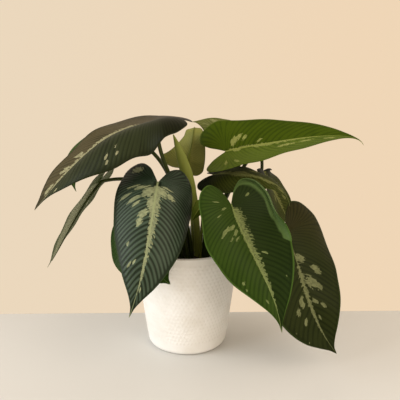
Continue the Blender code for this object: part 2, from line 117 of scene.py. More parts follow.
class NodeSheet:
    """Adds and joins the nodes of one tree."""

    def __init__(self, tree: bpy.types.NodeTree) -> None:
        """Start with an empty tree."""
        self.tree = tree
        self.tree.nodes.clear()

    def add(self, kind: str, inputs: Optional[dict] = None, **settings) -> bpy.types.Node:
        """A new node.

        Args:
            kind: the node's type name.
            inputs: values or output sockets for its inputs, by name or number.
            settings: the node's own properties.

        Returns:
            The node.
        """
        node = self.tree.nodes.new(kind)
        for name, value in settings.items():
            setattr(node, name, value)
        for key, value in (inputs or {}).items():
            if isinstance(value, bpy.types.NodeSocket):
                self.tree.links.new(value, node.inputs[key])
            else:
                node.inputs[key].default_value = value
        return node

    def math(self, operation: str, first, second=0.0, third=0.0, clamp: bool = False) -> bpy.types.NodeSocket:
        """The result of a sum on up to three values."""
        inputs = {0: first, 1: second, 2: third}
        return self.add("ShaderNodeMath", inputs, operation=operation, use_clamp=clamp).outputs[0]

    def mix(self, share, first, second, blend: str = "MIX") -> bpy.types.NodeSocket:
        """Two colours mixed by a share."""
        inputs = {0: share, 6: first, 7: second}
        return self.add("ShaderNodeMix", inputs, data_type="RGBA", blend_type=blend).outputs[2]

    def noise(self, place, scale: float, detail: float = 2.0, rough: float = 0.5) -> bpy.types.NodeSocket:
        """Soft noise from 0 to 1 at a place."""
        inputs = {"Vector": place, "Scale": scale, "Detail": detail, "Roughness": rough}
        return self.add("ShaderNodeTexNoise", inputs).outputs["Fac"]

    def span(self, value, low: float, high: float, out_low: float = 0.0, out_high: float = 1.0):
        """A value carried smoothly from one span to another."""
        inputs = {0: value, 1: low, 2: high, 3: out_low, 4: out_high}
        return self.add("ShaderNodeMapRange", inputs, interpolation_type="SMOOTHSTEP").outputs[0]

    def attribute(self, layer: Layer) -> bpy.types.NodeSocket:
        """A named value that the mesh carries."""
        return self.add("ShaderNodeAttribute", attribute_name=layer.value).outputs["Fac"]

    def stretched(self, place, scale: Point) -> bpy.types.NodeSocket:
        """A place stretched by its own scale along each axis."""
        return self.add("ShaderNodeMapping", {"Vector": place, "Scale": scale}).outputs[0]

    def object_place(self) -> bpy.types.NodeSocket:
        """The place on the piece, in metres."""
        return self.add("ShaderNodeTexCoord").outputs["Object"]

    def uv_place(self, layer: Layer) -> bpy.types.NodeSocket:
        """The place on a piece's own flat map."""
        return self.add("ShaderNodeUVMap", uv_map=layer.value).outputs[0]


def rgba(color: Color) -> tuple[float, float, float, float]:
    """A colour with full cover."""
    return (*color, 1.0)


def new_material(name: str) -> tuple[bpy.types.Material, NodeSheet]:
    """An empty material and the sheet for its nodes."""
    material = bpy.data.materials.new(name)
    material.use_nodes = True
    return material, NodeSheet(material.node_tree)


def close_material(sheet: NodeSheet, shader: bpy.types.Node) -> None:
    """Join a shader to the material's output."""
    sheet.add("ShaderNodeOutputMaterial", {"Surface": shader.outputs[0]})


@dataclass(frozen=True)
class LeafTone:
    """The colours of one kind of blade. Ridges are the quilted swellings between its side veins; their colour is a
    painted highlight and the grooves' colour is painted shade. The tints multiply the colours of its right half and of
    its lobes: painted shade, bluish where it stands for a painted reflection, and on some lobes their own warmer
    colour."""

    # painted highlight: the colour of the lit quilted ridges, and below it the painted shade of the grooves
    lit_ridge: Color
    shaded_groove: Color
    marking: Color
    rib: Color
    under: Color
    under_vein: Color
    margin: Color
    # painted shade over the right half, bluish where it stands for a painted reflection
    right_half_shade: Color = (1.0, 1.0, 1.0)
    # mostly painted shade over the lobes; on the warm tone it is the lobe's own browner colour
    lobe_shade_and_tint: Color = (1.0, 1.0, 1.0)
    # narrows the painted ridge highlights into thin lines
    sharpness: float = 1.0
    # strength of the painted sheen streaks and of the random tone changes in the painted ridge light
    unevenness: float = 0.7
    roughness: float = 0.40
    gloss: float = 0.22


@dataclass(frozen=True)
class UpperFinish:
    """The upper side of a blade: quilted green with painted highlights on its ridges, painted shade in its grooves and
    painted sheen streaks, broken pale markings and a pale midrib.
    """

    name: str
    tone: LeafTone
    streak_scale: Point = (110.0, 11.0, 1.0)
    cloud_scale: float = 210.0
    # size of the painted sheen streaks along the side veins
    sheen_streak_scale: Point = (22.0, 2.0, 1.0)
    break_up: float = 2.0

    def build(self) -> bpy.types.Material:
        """Make the material."""
        material, sheet = new_material(self.name)
        tone, place, flat = self.tone, sheet.object_place(), sheet.uv_place(Layer.VEIN_MAP)
        along, side, _ = sheet.add("ShaderNodeSeparateXYZ", {0: flat}).outputs
        shade = sheet.noise(place, 24.0, 3.0)
        # painted sheen: streaks along the side veins that lighten and darken the blade as reflections do
        sheen_streaks = sheet.noise(sheet.stretched(flat, self.sheen_streak_scale), 1.0, 3.0, 0.6)
        # the relief sets the colour between the painted shade of the grooves and the painted highlight of the ridges
        ridge_highlight = sheet.math("POWER", sheet.attribute(Layer.RELIEF), tone.sharpness)
        sheen_and_tone = sheet.math("ADD", shade, sheet.math("SUBTRACT", sheen_streaks, 1.0))
        lit = sheet.math("MULTIPLY_ADD", sheen_and_tone, tone.unevenness, ridge_highlight)
        green = sheet.mix(sheet.span(lit, 0.05, 0.95), rgba(tone.shaded_groove), rgba(tone.lit_ridge))
        # painted shade over the right half and the lobes, with the lobes' own colour on some tones
        green = sheet.mix(sheet.span(side, 0.495, 0.505, 1.0, 0.0), green, rgba(tone.right_half_shade), "MULTIPLY")
        green = sheet.mix(sheet.span(along, 0.22, 0.62, 1.0, 0.0), green, rgba(tone.lobe_shade_and_tint), "MULTIPLY")
        green = sheet.mix(sheet.attribute(Layer.FOLD), green, sheet.mix(shade, rgba(tone.under), rgba(tone.under_vein)))
        out = sheet.math("ABSOLUTE", sheet.math("MULTIPLY_ADD", side, 2.0, -1.0))
        green = sheet.mix(sheet.span(out, 0.95, 0.99, 0.0, 0.8), green, rgba(tone.margin))
        streaks = sheet.noise(sheet.stretched(flat, self.streak_scale), 1.0, 2.0, 0.6)
        clouds = sheet.noise(place, self.cloud_scale, 3.0, 0.6)
        marking = sheet.attribute(Layer.MARKING)
        rough_edge = sheet.math("MULTIPLY", sheet.math("ADD", streaks, sheet.math("SUBTRACT", clouds, 1.0)),
                                self.break_up)
        marked = sheet.math("MULTIPLY_ADD", rough_edge, sheet.span(marking, 0.0, 0.3), marking)
        pale = sheet.mix(sheet.span(clouds, 0.35, 0.70, 0.0, 0.45), rgba(tone.marking), green)
        green = sheet.mix(sheet.span(marked, 0.48, 0.60, 0.0, 0.95), green, pale)
        green = sheet.mix(sheet.math("MULTIPLY", sheet.attribute(Layer.RIB), 0.85), green, rgba(tone.rib))
        fine = sheet.noise(place, 1100.0, 3.0, 0.65)
        rough = sheet.span(fine, 0.2, 0.8, tone.roughness - 0.05, tone.roughness + 0.09)
        bump = sheet.add("ShaderNodeBump", {"Strength": 0.35, "Distance": 0.0004, "Height": fine})
        shader = sheet.add("ShaderNodeBsdfPrincipled", {
            "Base Color": green, "Roughness": rough, "Normal": bump.outputs[0], "Specular IOR Level": tone.gloss,
        })
        close_material(sheet, shader)
        return material


@dataclass(frozen=True)
class UnderFinish:
    """The underside of a blade: paler and duller, with its veins drawn darker."""

    name: str
    tone: LeafTone

    def build(self) -> bpy.types.Material:
        """Make the material."""
        material, sheet = new_material(self.name)
        place = sheet.object_place()
        clouds = sheet.noise(place, 60.0, 3.0, 0.6)
        relief = sheet.span(sheet.attribute(Layer.RELIEF), 0.0, 0.45)
        plain = sheet.mix(relief, rgba(self.tone.under_vein), rgba(self.tone.under))
        plain = sheet.mix(sheet.span(clouds, 0.3, 0.7, 0.0, 0.3), plain, rgba(self.tone.under_vein))
        pale_share = sheet.span(sheet.attribute(Layer.MARKING), 0.45, 0.6, 0.0, 0.35)
        plain = sheet.mix(pale_share, plain, rgba(self.tone.marking))
        plain = sheet.mix(sheet.attribute(Layer.RIB), plain, rgba(self.tone.rib))
        fine = sheet.noise(place, 900.0, 3.0, 0.65)
        bump = sheet.add("ShaderNodeBump", {"Strength": 0.3, "Distance": 0.0004, "Height": fine})
        shader = sheet.add("ShaderNodeBsdfPrincipled", {
            "Base Color": plain, "Roughness": 0.55, "Normal": bump.outputs[0], "Specular IOR Level": 0.2,
        })
        close_material(sheet, shader)
        return material


@dataclass(frozen=True)
class StemFinish:
    """A smooth stem, streaked along its length."""

    name: str
    pale: Color
    dark: Color

    def build(self) -> bpy.types.Material:
        """Make the material."""
        material, sheet = new_material(self.name)
        along = sheet.stretched(sheet.uv_place(Layer.VEIN_MAP), (3.0, 9.0, 1.0))
        streaks = sheet.noise(along, 1.0, 3.0, 0.6)
        color = sheet.mix(sheet.span(streaks, 0.3, 0.7), rgba(self.dark), rgba(self.pale))
        fine = sheet.noise(sheet.object_place(), 1300.0, 2.0)
        bump = sheet.add("ShaderNodeBump", {"Strength": 0.25, "Distance": 0.0003, "Height": fine})
        rough = sheet.span(fine, 0.2, 0.8, 0.34, 0.46)
        shader = sheet.add("ShaderNodeBsdfPrincipled",
                           {"Base Color": color, "Roughness": rough, "Normal": bump.outputs[0],
                            "Specular IOR Level": 0.2})
        close_material(sheet, shader)
        return material


@dataclass(frozen=True)
class PotFinish:
    """Matt white glaze with faint clouds and fine pitting."""

    name: str = "pot_glaze"
    white: Color = (0.88, 0.87, 0.85)
    shade: Color = (0.80, 0.78, 0.74)

    def build(self) -> bpy.types.Material:
        """Make the material."""
        material, sheet = new_material(self.name)
        place = sheet.object_place()
        clouds = sheet.noise(place, 30.0, 3.0, 0.55)
        color = sheet.mix(sheet.span(clouds, 0.35, 0.8), rgba(self.white), rgba(self.shade))
        pits = sheet.noise(place, 1600.0, 2.0, 0.6)
        bump = sheet.add("ShaderNodeBump", {"Strength": 0.15, "Distance": 0.0002, "Height": pits})
        rough = sheet.span(clouds, 0.2, 0.8, 0.42, 0.52)
        shader = sheet.add("ShaderNodeBsdfPrincipled",
                           {"Base Color": color, "Roughness": rough, "Normal": bump.outputs[0]})
        close_material(sheet, shader)
        return material


@dataclass(frozen=True)
class SoilFinish:
    """Dark moist potting soil."""

    name: str = "potting_soil"
    dark: Color = (0.012, 0.009, 0.006)
    light: Color = (0.05, 0.034, 0.022)

    def build(self) -> bpy.types.Material:
        """Make the material."""
        material, sheet = new_material(self.name)
        place = sheet.object_place()
        grains = sheet.noise(place, 420.0, 4.0, 0.7)
        color = sheet.mix(sheet.span(grains, 0.35, 0.75), rgba(self.dark), rgba(self.light))
        bump = sheet.add("ShaderNodeBump", {"Strength": 0.9, "Distance": 0.0012, "Height": grains})
        rough = sheet.span(grains, 0.3, 0.8, 0.95, 0.75)
        shader = sheet.add("ShaderNodeBsdfPrincipled",
                           {"Base Color": color, "Roughness": rough, "Normal": bump.outputs[0]})
        close_material(sheet, shader)
        return material


@dataclass(frozen=True)
class TableFinish:
    """A smooth pale table top."""

    name: str = "table_top"
    color: Color = (0.63, 0.63, 0.62)

    def build(self) -> bpy.types.Material:
        """Make the material."""
        material, sheet = new_material(self.name)
        clouds = sheet.noise(sheet.object_place(), 3.0, 2.0)
        color = sheet.mix(sheet.span(clouds, 0.3, 0.7, 0.0, 0.06), rgba(self.color), (0.5, 0.45, 0.4, 1.0))
        shader = sheet.add("ShaderNodeBsdfPrincipled", {"Base Color": color, "Roughness": 0.5})
        close_material(sheet, shader)
        return material


def add_piece(name: str, mesh: bpy.types.Mesh, replaced: Sequence[str]) -> bpy.types.Object:
    """Show a finished mesh in place of solids of the frame.

    Args:
        name: the piece's name.
        mesh: its mesh, with its materials.
        replaced: the nodes that it stands for.

    Returns:
        The piece, riding on the one body.
    """
    piece = bpy.data.objects.new(name, mesh)
    bpy.context.scene.collection.objects.link(piece)
    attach(piece, "root")
    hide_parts(*replaced)
    LOG.info("%s: %d faces", name, len(mesh.polygons))
    return piece


def grow(thing: bpy.types.Object, tree: bpy.types.NodeTree, values: dict) -> bpy.types.Mesh:
    """Run a node tree on an object and keep the plain result.

    Args:
        thing: the object that the tree starts from; it is removed.
        tree: the tree, with named inputs.
        values: a value for each named input.

    Returns:
        The finished mesh.
    """
    modifier = thing.modifiers.new(tree.name, "NODES")
    modifier.node_group = tree
    for item in tree.interface.items_tree:
        if item.item_type == "SOCKET" and item.in_out == "INPUT" and item.name in values:
            modifier[item.identifier] = values[item.name]
    thing.update_tag()
    bpy.context.view_layer.update()
    evaluated = thing.evaluated_get(bpy.context.evaluated_depsgraph_get())
    mesh = bpy.data.meshes.new_from_object(evaluated)
    thing.modifiers.remove(modifier)
    bpy.data.objects.remove(thing)
    return mesh


def new_tree(name: str, inputs: dict[str, str]) -> tuple[bpy.types.NodeTree, NodeSheet, bpy.types.Node]:
    """An empty geometry tree with a shape in and out and named inputs.

    Args:
        name: the tree's name.
        inputs: the kind of each named input.

    Returns:
        The tree, the sheet for its nodes, and its input node.
    """
    tree = bpy.data.node_groups.new(name, "GeometryNodeTree")
    sheet = NodeSheet(tree)
    tree.interface.new_socket("Shape", in_out="INPUT", socket_type="NodeSocketGeometry")
    for label, kind in inputs.items():
        tree.interface.new_socket(label, in_out="INPUT", socket_type=kind)
    tree.interface.new_socket("Shape", in_out="OUTPUT", socket_type="NodeSocketGeometry")
    return tree, sheet, sheet.add("NodeGroupInput")


@dataclass(frozen=True)
class Leaf:
    """One leaf. The midrib runs from base to tip through two handles. A facing is the direction that the
    upper side looks to: degrees round from the front towards +X, and degrees up. Left and right are as
    seen on the upper side with the tip down."""

    name: str
    base: Point
    base_handle: Point
    tip_handle: Point
    tip: Point
    base_facing: Pair
    tip_facing: Pair
    half_widths: Pair
    folds: Pair
    arches: Pair
    lobe: float
    lobe_bend: float
    foot: Pair
    foot_handle: Point
    stem_handle: Point
    wave: float = 0.0015
    curl: tuple = ()
    fullness: Pair = (0.0, 0.0)
    bluntness: Pair = (0.0, 0.0)


@dataclass(frozen=True)
class Patch:
    """A pale patch on a blade: its middle and its half size, in shares of the way from the notch round
    the outline to the tip, and of the way out from the midrib to the margin."""

    half: Half
    place: float
    out: float
    place_size: float
    out_size: float


@dataclass(frozen=True)
class Feather:
    """A pale stripe along the midrib that ends in feathered streaks."""

    half: Half
    start: float
    end: float
    width: float


HALF_OUTLINE = (
    (0.0, 0.0), (-0.30, 0.10), (-0.72, 0.26), (-1.0, 0.50), (-0.86, 0.76), (-0.30, 0.95), (0.12, 1.0),
    (0.30, 0.93), (0.48, 0.78), (0.64, 0.56), (0.77, 0.33), (0.86, 0.15), (0.93, 0.045), (1.0, 0.0),
)
OUTLINE_CHORD_SCALE = 0.3
EDGE_WAVES = 3
RIGHT_WAVE_SHIFT = 1.7
TIP_POWER = 8
RIB_STEPS = 80
LOBE_BEND_REACH = 0.2
CURL_STEP = 0.04
CURL_EASE = 0.8
LEAST_CURL = 0.001
VEIN_LEAN = 0.25
VEIN_SPREAD = 0.6
STEM_FOOT_DEPTH = 0.112


def outline(places: np.ndarray, lobe: float) -> np.ndarray:
    """The half outline of a blade.

    Args:
        places: from 0, the notch, round the lobe to 1, the tip.
        lobe: how far the lobe reaches behind the notch, in blade lengths.

    Returns:
        Shares of the length along the midrib and of the half width out from it.
    """
    points = np.array(HALF_OUTLINE)
    points[:, 0] = np.where(points[:, 0] < 0, points[:, 0] * lobe, points[:, 0])
    chords = np.diff(points * (1.0, OUTLINE_CHORD_SCALE), axis=0)
    knots = np.concatenate(((0.0,), np.cumsum(np.linalg.norm(chords, axis=1))))
    knots /= knots[-1]
    slopes = np.gradient(points, knots, axis=0)
    places = np.clip(np.asarray(places, float), 0.0, 1.0)
    i = np.clip(np.searchsorted(knots, places, side="right") - 1, 0, len(knots) - 2)
    step = knots[i + 1] - knots[i]
    w = (places - knots[i]) / step
    start = (2 * w ** 3 - 3 * w ** 2 + 1)[..., None]
    leave = ((w ** 3 - 2 * w ** 2 + w) * step)[..., None]
    end = (3 * w ** 2 - 2 * w ** 3)[..., None]
    arrive = ((w ** 3 - w ** 2) * step)[..., None]
    return start * points[i] + leave * slopes[i] + end * points[i + 1] + arrive * slopes[i + 1]


class BladeShape:
    """The middle surface of one leaf's blade, as in the solids."""

    def __init__(self, leaf: Leaf) -> None:
        """Measure the midrib."""
        self.leaf = leaf
        spine = (leaf.base, leaf.base_handle, leaf.tip_handle, leaf.tip)
        self.rib = bezier(spine, np.linspace(0, 1, RIB_STEPS))
        steps = np.linalg.norm(np.diff(self.rib, axis=0), axis=1)
        self.along = np.concatenate(((0.0,), np.cumsum(steps)))
        self.length = float(self.along[-1])
        self.heading = unit(np.gradient(self.rib, self.along, axis=0))
        self.base_up = facing_direction(leaf.base_facing)
        self.tip_up = facing_direction(leaf.tip_facing)

    def frame(self, along: np.ndarray) -> tuple[np.ndarray, np.ndarray, np.ndarray]:
        """Point, upper direction and left direction at distances along the midrib; behind the notch it
        runs on and bends down by the lobe's bend."""
        inside = np.clip(along, 0, self.length)
        point = np.stack([np.interp(inside, self.along, self.rib[:, k]) for k in range(3)], -1)
        heading = unit(np.stack([np.interp(inside, self.along, self.heading[:, k]) for k in range(3)], -1))
        share = smooth_step(0, self.length, inside)[..., None]
        up = unit(self.base_up * (1 - share) + self.tip_up * share)
        up = unit(up - (up * heading).sum(-1, keepdims=True) * heading)
        left = np.cross(heading, up)
        behind = np.minimum(along, 0.0)
        bend = math.radians(self.leaf.lobe_bend) * (-behind / (LOBE_BEND_REACH * self.length))[..., None]
        point = point + (heading * np.cos(bend / 2) + up * np.sin(bend / 2)) * behind[..., None]
        return point, up * np.cos(bend) - heading * np.sin(bend), left

    def width(self, half: Half) -> float:
        """The width of a half."""
        return self.leaf.half_widths[0 if half is Half.LEFT else 1]

    def flat(self, half: Half, place: np.ndarray, out: np.ndarray) -> tuple[np.ndarray, np.ndarray]:
        """Distances along and out from the midrib, along side veins that lean towards the tip."""
        index = 0 if half is Half.LEFT else 1
        edge = outline(place, self.leaf.lobe)
        before = np.clip(edge[..., 0], 0, 1)
        swell = 1 + self.leaf.fullness[index] * np.sin(math.pi * before)
        swell = swell + self.leaf.bluntness[index] * before ** TIP_POWER
        edge_along, edge_out = edge[..., 0] * self.length, edge[..., 1] * self.width(half) * swell
        start = self.length * before ** 2
        middle_along = start + VEIN_LEAN * (edge_along - start)
        a, b, c = (1 - out) ** 2, 2 * out * (1 - out), out ** 2
        return a * start + b * middle_along + c * edge_along, (b * VEIN_SPREAD + c) * edge_out

    def plain_point(self, half: Half, place: np.ndarray, out: np.ndarray) -> tuple[np.ndarray, np.ndarray]:
        """Points and upper directions of the blade before its edge is curled."""
        index = 0 if half is Half.LEFT else 1
        width = self.width(half)
        along, across = self.flat(half, place, out)
        point, up, left = self.frame(along)
        slope = np.radians(self.leaf.folds[index] - self.leaf.arches[index] * across / width / 2)
        shift = 0.0 if half is Half.LEFT else RIGHT_WAVE_SHIFT
        wave = np.sin(2 * math.pi * EDGE_WAVES * along / self.length + shift)
        lift = across * np.sin(slope) + self.leaf.wave * (across / width) ** 2 * wave
        spot = point + half.value * left * (across * np.cos(slope))[..., None] + up * lift[..., None]
        return spot, up

    def point(self, half: Half, place: np.ndarray, out: np.ndarray) -> np.ndarray:
        """Points of the blade.

        Args:
            half: the half of the blade.
            place: from 0, the notch, round the lobe to 1, the tip.
            out: from 0, the midrib, to 1, the margin.

        Returns:
            One point for each pair of places.
        """
        place, out = np.broadcast_arrays(np.asarray(place, float), np.asarray(out, float))
        flat_point, _ = self.plain_point(half, place, out)
        if half is Half.LEFT or not self.leaf.curl:
            return flat_point
        first, last, degrees, start = self.leaf.curl
        share = np.clip((place - first) / (last - first), 0, 1)
        turn = np.maximum(math.radians(degrees) * np.sin(math.pi * share) ** CURL_EASE, LEAST_CURL)
        root, up = self.plain_point(half, place, np.full_like(out, start))
        before, _ = self.plain_point(half, place, np.full_like(out, start - CURL_STEP))
        edge, _ = self.plain_point(half, place, np.ones_like(out))
        outward = unit(root - before)
        up = unit(up - (up * outward).sum(-1, keepdims=True) * outward)
        radius = np.linalg.norm(edge - root, axis=-1) / turn
        angle = turn * np.clip((out - start) / (1 - start), 0, 1)
        rolled = root + outward * (radius * np.sin(angle))[..., None]
        rolled = rolled + up * (radius * (1 - np.cos(angle)))[..., None]
        in_roll = ((out > start) & (share > 0) & (share < 1))[..., None]
        return np.where(in_roll, rolled, flat_point)


class MeshParts:
    """Gathers the points, faces and carried values of one mesh."""

    def __init__(self) -> None:
        """Start empty."""
        self.points: list[np.ndarray] = []
        self.faces: list[tuple[int, ...]] = []
        self.slots: list[int] = []
        self.maps: list[np.ndarray] = []
        self.values: dict[Layer, list[np.ndarray]] = {layer: [] for layer in Layer if layer is not Layer.VEIN_MAP}
        self.count = 0

    def add(self, points: np.ndarray, faces: Sequence[Sequence[int]], slot: int, flat_map: np.ndarray,
            values: Optional[dict[Layer, np.ndarray]] = None) -> None:
        """Add one shell.

        Args:
            points: its points.
            faces: its faces, numbered from its own first point.
            slot: its material slot.
            flat_map: a place on the flat map for each point.
            values: carried values for each point; what is left out is 0.
        """
        self.points.append(points)
        self.maps.append(flat_map)
        for layer, kept in self.values.items():
            kept.append((values or {}).get(layer, np.zeros(len(points))))
        self.faces += [tuple(int(i) + self.count for i in face) for face in faces]
        self.slots += [slot] * len(faces)
        self.count += len(points)

    def mesh(self, name: str, materials: Sequence[bpy.types.Material]) -> bpy.types.Mesh:
        """The finished mesh, shaded smooth."""
        points, flat_map = np.vstack(self.points), np.vstack(self.maps)
        mesh = bpy.data.meshes.new(name)
        mesh.from_pydata([tuple(point) for point in points], [], self.faces)
        for material in materials:
            mesh.materials.append(material)
        mesh.polygons.foreach_set("material_index", np.array(self.slots, np.int32))
        corners = np.empty(len(mesh.loops), np.int32)
        mesh.loops.foreach_get("vertex_index", corners)
        layer = mesh.uv_layers.new(name=Layer.VEIN_MAP.value)
        layer.data.foreach_set("uv", flat_map[corners].astype(np.float32).ravel())
        for kind, kept in self.values.items():
            attribute = mesh.attributes.new(kind.value, "FLOAT", "POINT")
            attribute.data.foreach_set("value", np.concatenate(kept).astype(np.float32))
        mesh.shade_smooth()
        mesh.validate()
        return mesh


def surface_normals(points: np.ndarray, faces: Sequence[Sequence[int]]) -> np.ndarray:
    """Smooth normals of an open surface."""
    triangles = np.array([face[:3] for face in faces] + [(f[0], f[2], f[3]) for f in faces if len(f) == 4])
    a, b, c = (points[triangles[:, k]] for k in range(3))
    flat = np.cross(b - a, c - a)
    normals = np.zeros_like(points)
    for k in range(3):
        np.add.at(normals, triangles[:, k], flat)
    return unit(normals)


def tube(path: np.ndarray, radii: np.ndarray, sides: int) -> tuple[np.ndarray, list, np.ndarray]:
    """A closed round tube.

    Args:
        path: its centre line.
        radii: its radius at each point of the path.
        sides: how many sides it has.

    Returns:
        Its points, its faces, and its flat map: round and along.
    """
    heading = unit(np.gradient(path, axis=0))
    across = unit(np.cross(heading[0], (0.0, 1.0, 0.0)))
    turns = 2 * math.pi * np.arange(sides) / sides
    rings, flat_map = [], []
    for i, (centre, forward) in enumerate(zip(path, heading)):
        across = unit(across - (across @ forward) * forward)
        second = np.cross(forward, across)
        ring = np.cos(turns)[:, None] * across + np.sin(turns)[:, None] * second
        rings.append(centre + radii[i] * ring)
        flat_map.append(np.stack((np.abs(np.linspace(-1, 1, sides)), np.full(sides, i / len(path))), -1))
    faces = []
    for i in range(len(path) - 1):
        for k in range(sides):
            a, b = i * sides + k, i * sides + (k + 1) % sides
            faces.append((a, b, b + sides, a + sides))
    last = (len(path) - 1) * sides
    faces.append(tuple(range(sides))[::-1])
    faces.append(tuple(range(last, last + sides)))
    return np.vstack(rings), faces, np.vstack(flat_map)


@dataclass
class LeafPiece:
    """One leaf as it shows: a thin quilted blade with its midrib, keel and stem."""

    leaf: Leaf
    tone: LeafTone
    patches: Sequence[Patch] = ()
    feathers: Sequence[Feather] = ()
    stem: StemFinish = StemFinish("stem_green", (0.16, 0.19, 0.05), (0.05, 0.075, 0.02))
    slot: Slot = Slot.LEAF_DARK
    quilt: float = 0.00045
    vein_count: int = 32
    rows: int = 192
    columns: int = 30
    column_bunching: float = 1.35
    thickness: float = 0.0005
    rib_half_width: float = 0.0011
    stem_radius_low: float = 0.0036
    stem_radius_top: float = 0.0023
    keel_end_radius: float = 0.0004
    keel_share: float = 0.9
    fold_width: float = 0.0
    stem_sides: int = 14
    stem_steps: int = 40

    def __post_init__(self) -> None:
        """Find the blade's middle surface."""
        self.shape = BladeShape(self.leaf)

    def relief(self, place: np.ndarray, out: np.ndarray) -> np.ndarray:
        """The quilted relief, 0 in the side veins' grooves and 1 on the swellings between them."""
        swell = np.abs(np.sin(math.pi * self.vein_count * place)) ** 0.8
        inner = smooth_step(0.0, 0.10, out)
        outer = 1 - 0.75 * smooth_step(0.86, 1.0, out)
        ends = smooth_step(0.0, 0.06, place) * (1 - smooth_step(0.93, 1.0, place))
        return swell * inner * outer * ends

    def marking(self, half: Half, place: np.ndarray, out: np.ndarray) -> np.ndarray:
        """How pale the blade is, where one half is a patch's edge."""
        pale = np.zeros(np.broadcast(place, out).shape)
        for patch in self.patches:
            if patch.half is half:
                far = ((place - patch.place) / patch.place_size) ** 2 + ((out - patch.out) / patch.out_size) ** 2
                pale = np.maximum(pale, 1.1 - 0.6 * far)
        for feather in self.feathers:
            if feather.half is half:
                length = smooth_step(feather.start - 0.04, feather.start + 0.04, place)
                length = length * (1 - smooth_step(feather.end - 0.06, feather.end + 0.03, place))
                pale = np.maximum(pale, length * (1.15 - 0.65 * out / feather.width))
        return np.clip(pale, 0, 1.2)

    def fold(self, half: Half, place: np.ndarray, out: np.ndarray) -> np.ndarray:
        """How far the blade shows the colours of its underside, beside its curled margin."""
        if half is Half.LEFT or not self.leaf.curl:
            return np.zeros(np.broadcast(place, out).shape)
        first, last, _, start = self.leaf.curl
        share = np.clip((place - first) / (last - first), 0, 1)
        inner = start - self.fold_width * np.sin(math.pi * share ** 0.7) ** 0.6
        return smooth_step(inner - 0.01, inner + 0.01, out) * (share > 0) * (share < 1)

    def blade(self, parts: MeshParts) -> None:
        """Add the blade: both faces and the thin wall round its margin."""
        places = np.linspace(0, 1, self.rows + 1)
        outs = np.linspace(0, 1, self.columns + 1) ** self.column_bunching
        if self.leaf.curl:
            outs = np.unique(np.concatenate((outs, np.linspace(self.leaf.curl[3], 1, 14))))
        columns = len(outs) - 1
        points, values, flat_map, numbers, faces = [], [], [], {}, []
        for half in Half:
            grid = self.shape.point(half, places[:, None], outs[None, :])
            relief = self.relief(places[:, None], outs[None, :])
            marking = self.marking(half, places[:, None], outs[None, :])
            fold = self.fold(half, places[:, None], outs[None, :])
            _, across = self.shape.flat(half, places[:, None], outs[None, :])
            rib_width = self.rib_half_width * (1.5 - 1.2 * places[:, None])
            rib = 1 - smooth_step(0.5, 1.3, across / rib_width)
            number = np.empty((self.rows + 1, columns + 1), int)
            for row in range(self.rows + 1):
                for column in range(columns + 1):
                    shared = column == 0 or row in (0, self.rows)
                    spot = grid[row, column]
                    key = tuple(np.round(spot, 7)) if shared else (half, row, column)
                    if key not in numbers:
                        numbers[key] = len(points)
                        points.append(spot)
                        values.append((relief[row, column], marking[row, column], rib[row, column],
                                       fold[row, column]))
                        flat_map.append((places[row], 0.5 + 0.5 * half.value * outs[column]))
                    number[row, column] = numbers[key]
            for row in range(self.rows):
                for column in range(columns):
                    cell = (number[row, column], number[row + 1, column], number[row + 1, column + 1],
                            number[row, column + 1])
                    face = tuple(dict.fromkeys(cell))
                    if len(face) > 2:
                        faces.append(face if half is Half.RIGHT else face[::-1])
        points, values, flat_map = np.array(points), np.array(values), np.array(flat_map)
        smooth = surface_normals(points, faces)
        points = points + smooth * (self.quilt * (values[:, 0] - 0.5) * smooth_step(0.0, 0.1, values[:, 0]))[:, None]
        normals = surface_normals(points, faces)
        half_thick = self.thickness / 2
        carried = {Layer.RELIEF: values[:, 0], Layer.MARKING: values[:, 1], Layer.RIB: values[:, 2],
                   Layer.FOLD: values[:, 3]}
        count = len(points)
        edges = {}
        for face in faces:
            for a, b in zip(face, face[1:] + face[:1]):
                edges[a, b] = edges.get((a, b), 0) + 1
        rim = [edge for edge in edges if edge[::-1] not in edges]
        both = np.vstack((points + normals * half_thick, points - normals * half_thick))
        twice = {layer: np.concatenate((kept, kept)) for layer, kept in carried.items()}
        parts.add(both, faces, 0, np.vstack((flat_map, flat_map)), twice)
        parts.count -= 2 * count
        parts.faces += [tuple(i + count + parts.count for i in face[::-1]) for face in faces]
        parts.slots += [1] * len(faces)
        parts.faces += [tuple(i + parts.count for i in (a, a + count, b + count, b)) for a, b in rim]
        parts.slots += [0] * len(rim)
        parts.count += 2 * count

    def stem_path(self) -> tuple[np.ndarray, np.ndarray]:
        """Centre line and radii of the stem, which runs on under the midrib as a keel."""
        leaf = self.leaf
        (base,), (up,), _ = self.shape.frame(np.array((0.0,)))
        foot = (*leaf.foot, STEM_FOOT_DEPTH)
        top = base - up * (self.stem_radius_top - self.thickness / 4)
        stem = bezier((foot, leaf.foot_handle, leaf.stem_handle, top), np.linspace(0, 1, self.stem_steps + 1))
        radii = np.linspace(self.stem_radius_low, self.stem_radius_top, self.stem_steps + 1)
        if leaf.half_widths[0] < 4 * self.stem_radius_top:
            radii = radii * 0.6
        ribs = self.shape.length * np.linspace(0.03, self.keel_share, self.stem_steps)
        points, ups, _ = self.shape.frame(ribs)
        keel_radii = radii[-1] + (self.keel_end_radius - radii[-1]) * (ribs / ribs[-1]) ** 0.7
        keel = points - ups * (keel_radii + self.thickness * 0.1)[:, None]
        return np.vstack((stem, keel)), np.concatenate((radii, keel_radii))

    def build(self) -> bpy.types.Object:
        """Make the leaf and show it in place of its solid."""
        parts = MeshParts()
        self.blade(parts)
        path, radii = self.stem_path()
        points, faces, flat_map = tube(path, radii, self.stem_sides)
        parts.add(points, faces, 2, flat_map)
        name = self.leaf.name
        materials = [UpperFinish(name + "_upper", self.tone).build(), UnderFinish(name + "_under", self.tone).build(),
                     self.stem.build()]
        return add_piece(name + "_fine", parts.mesh(name + "_fine", materials), [name])


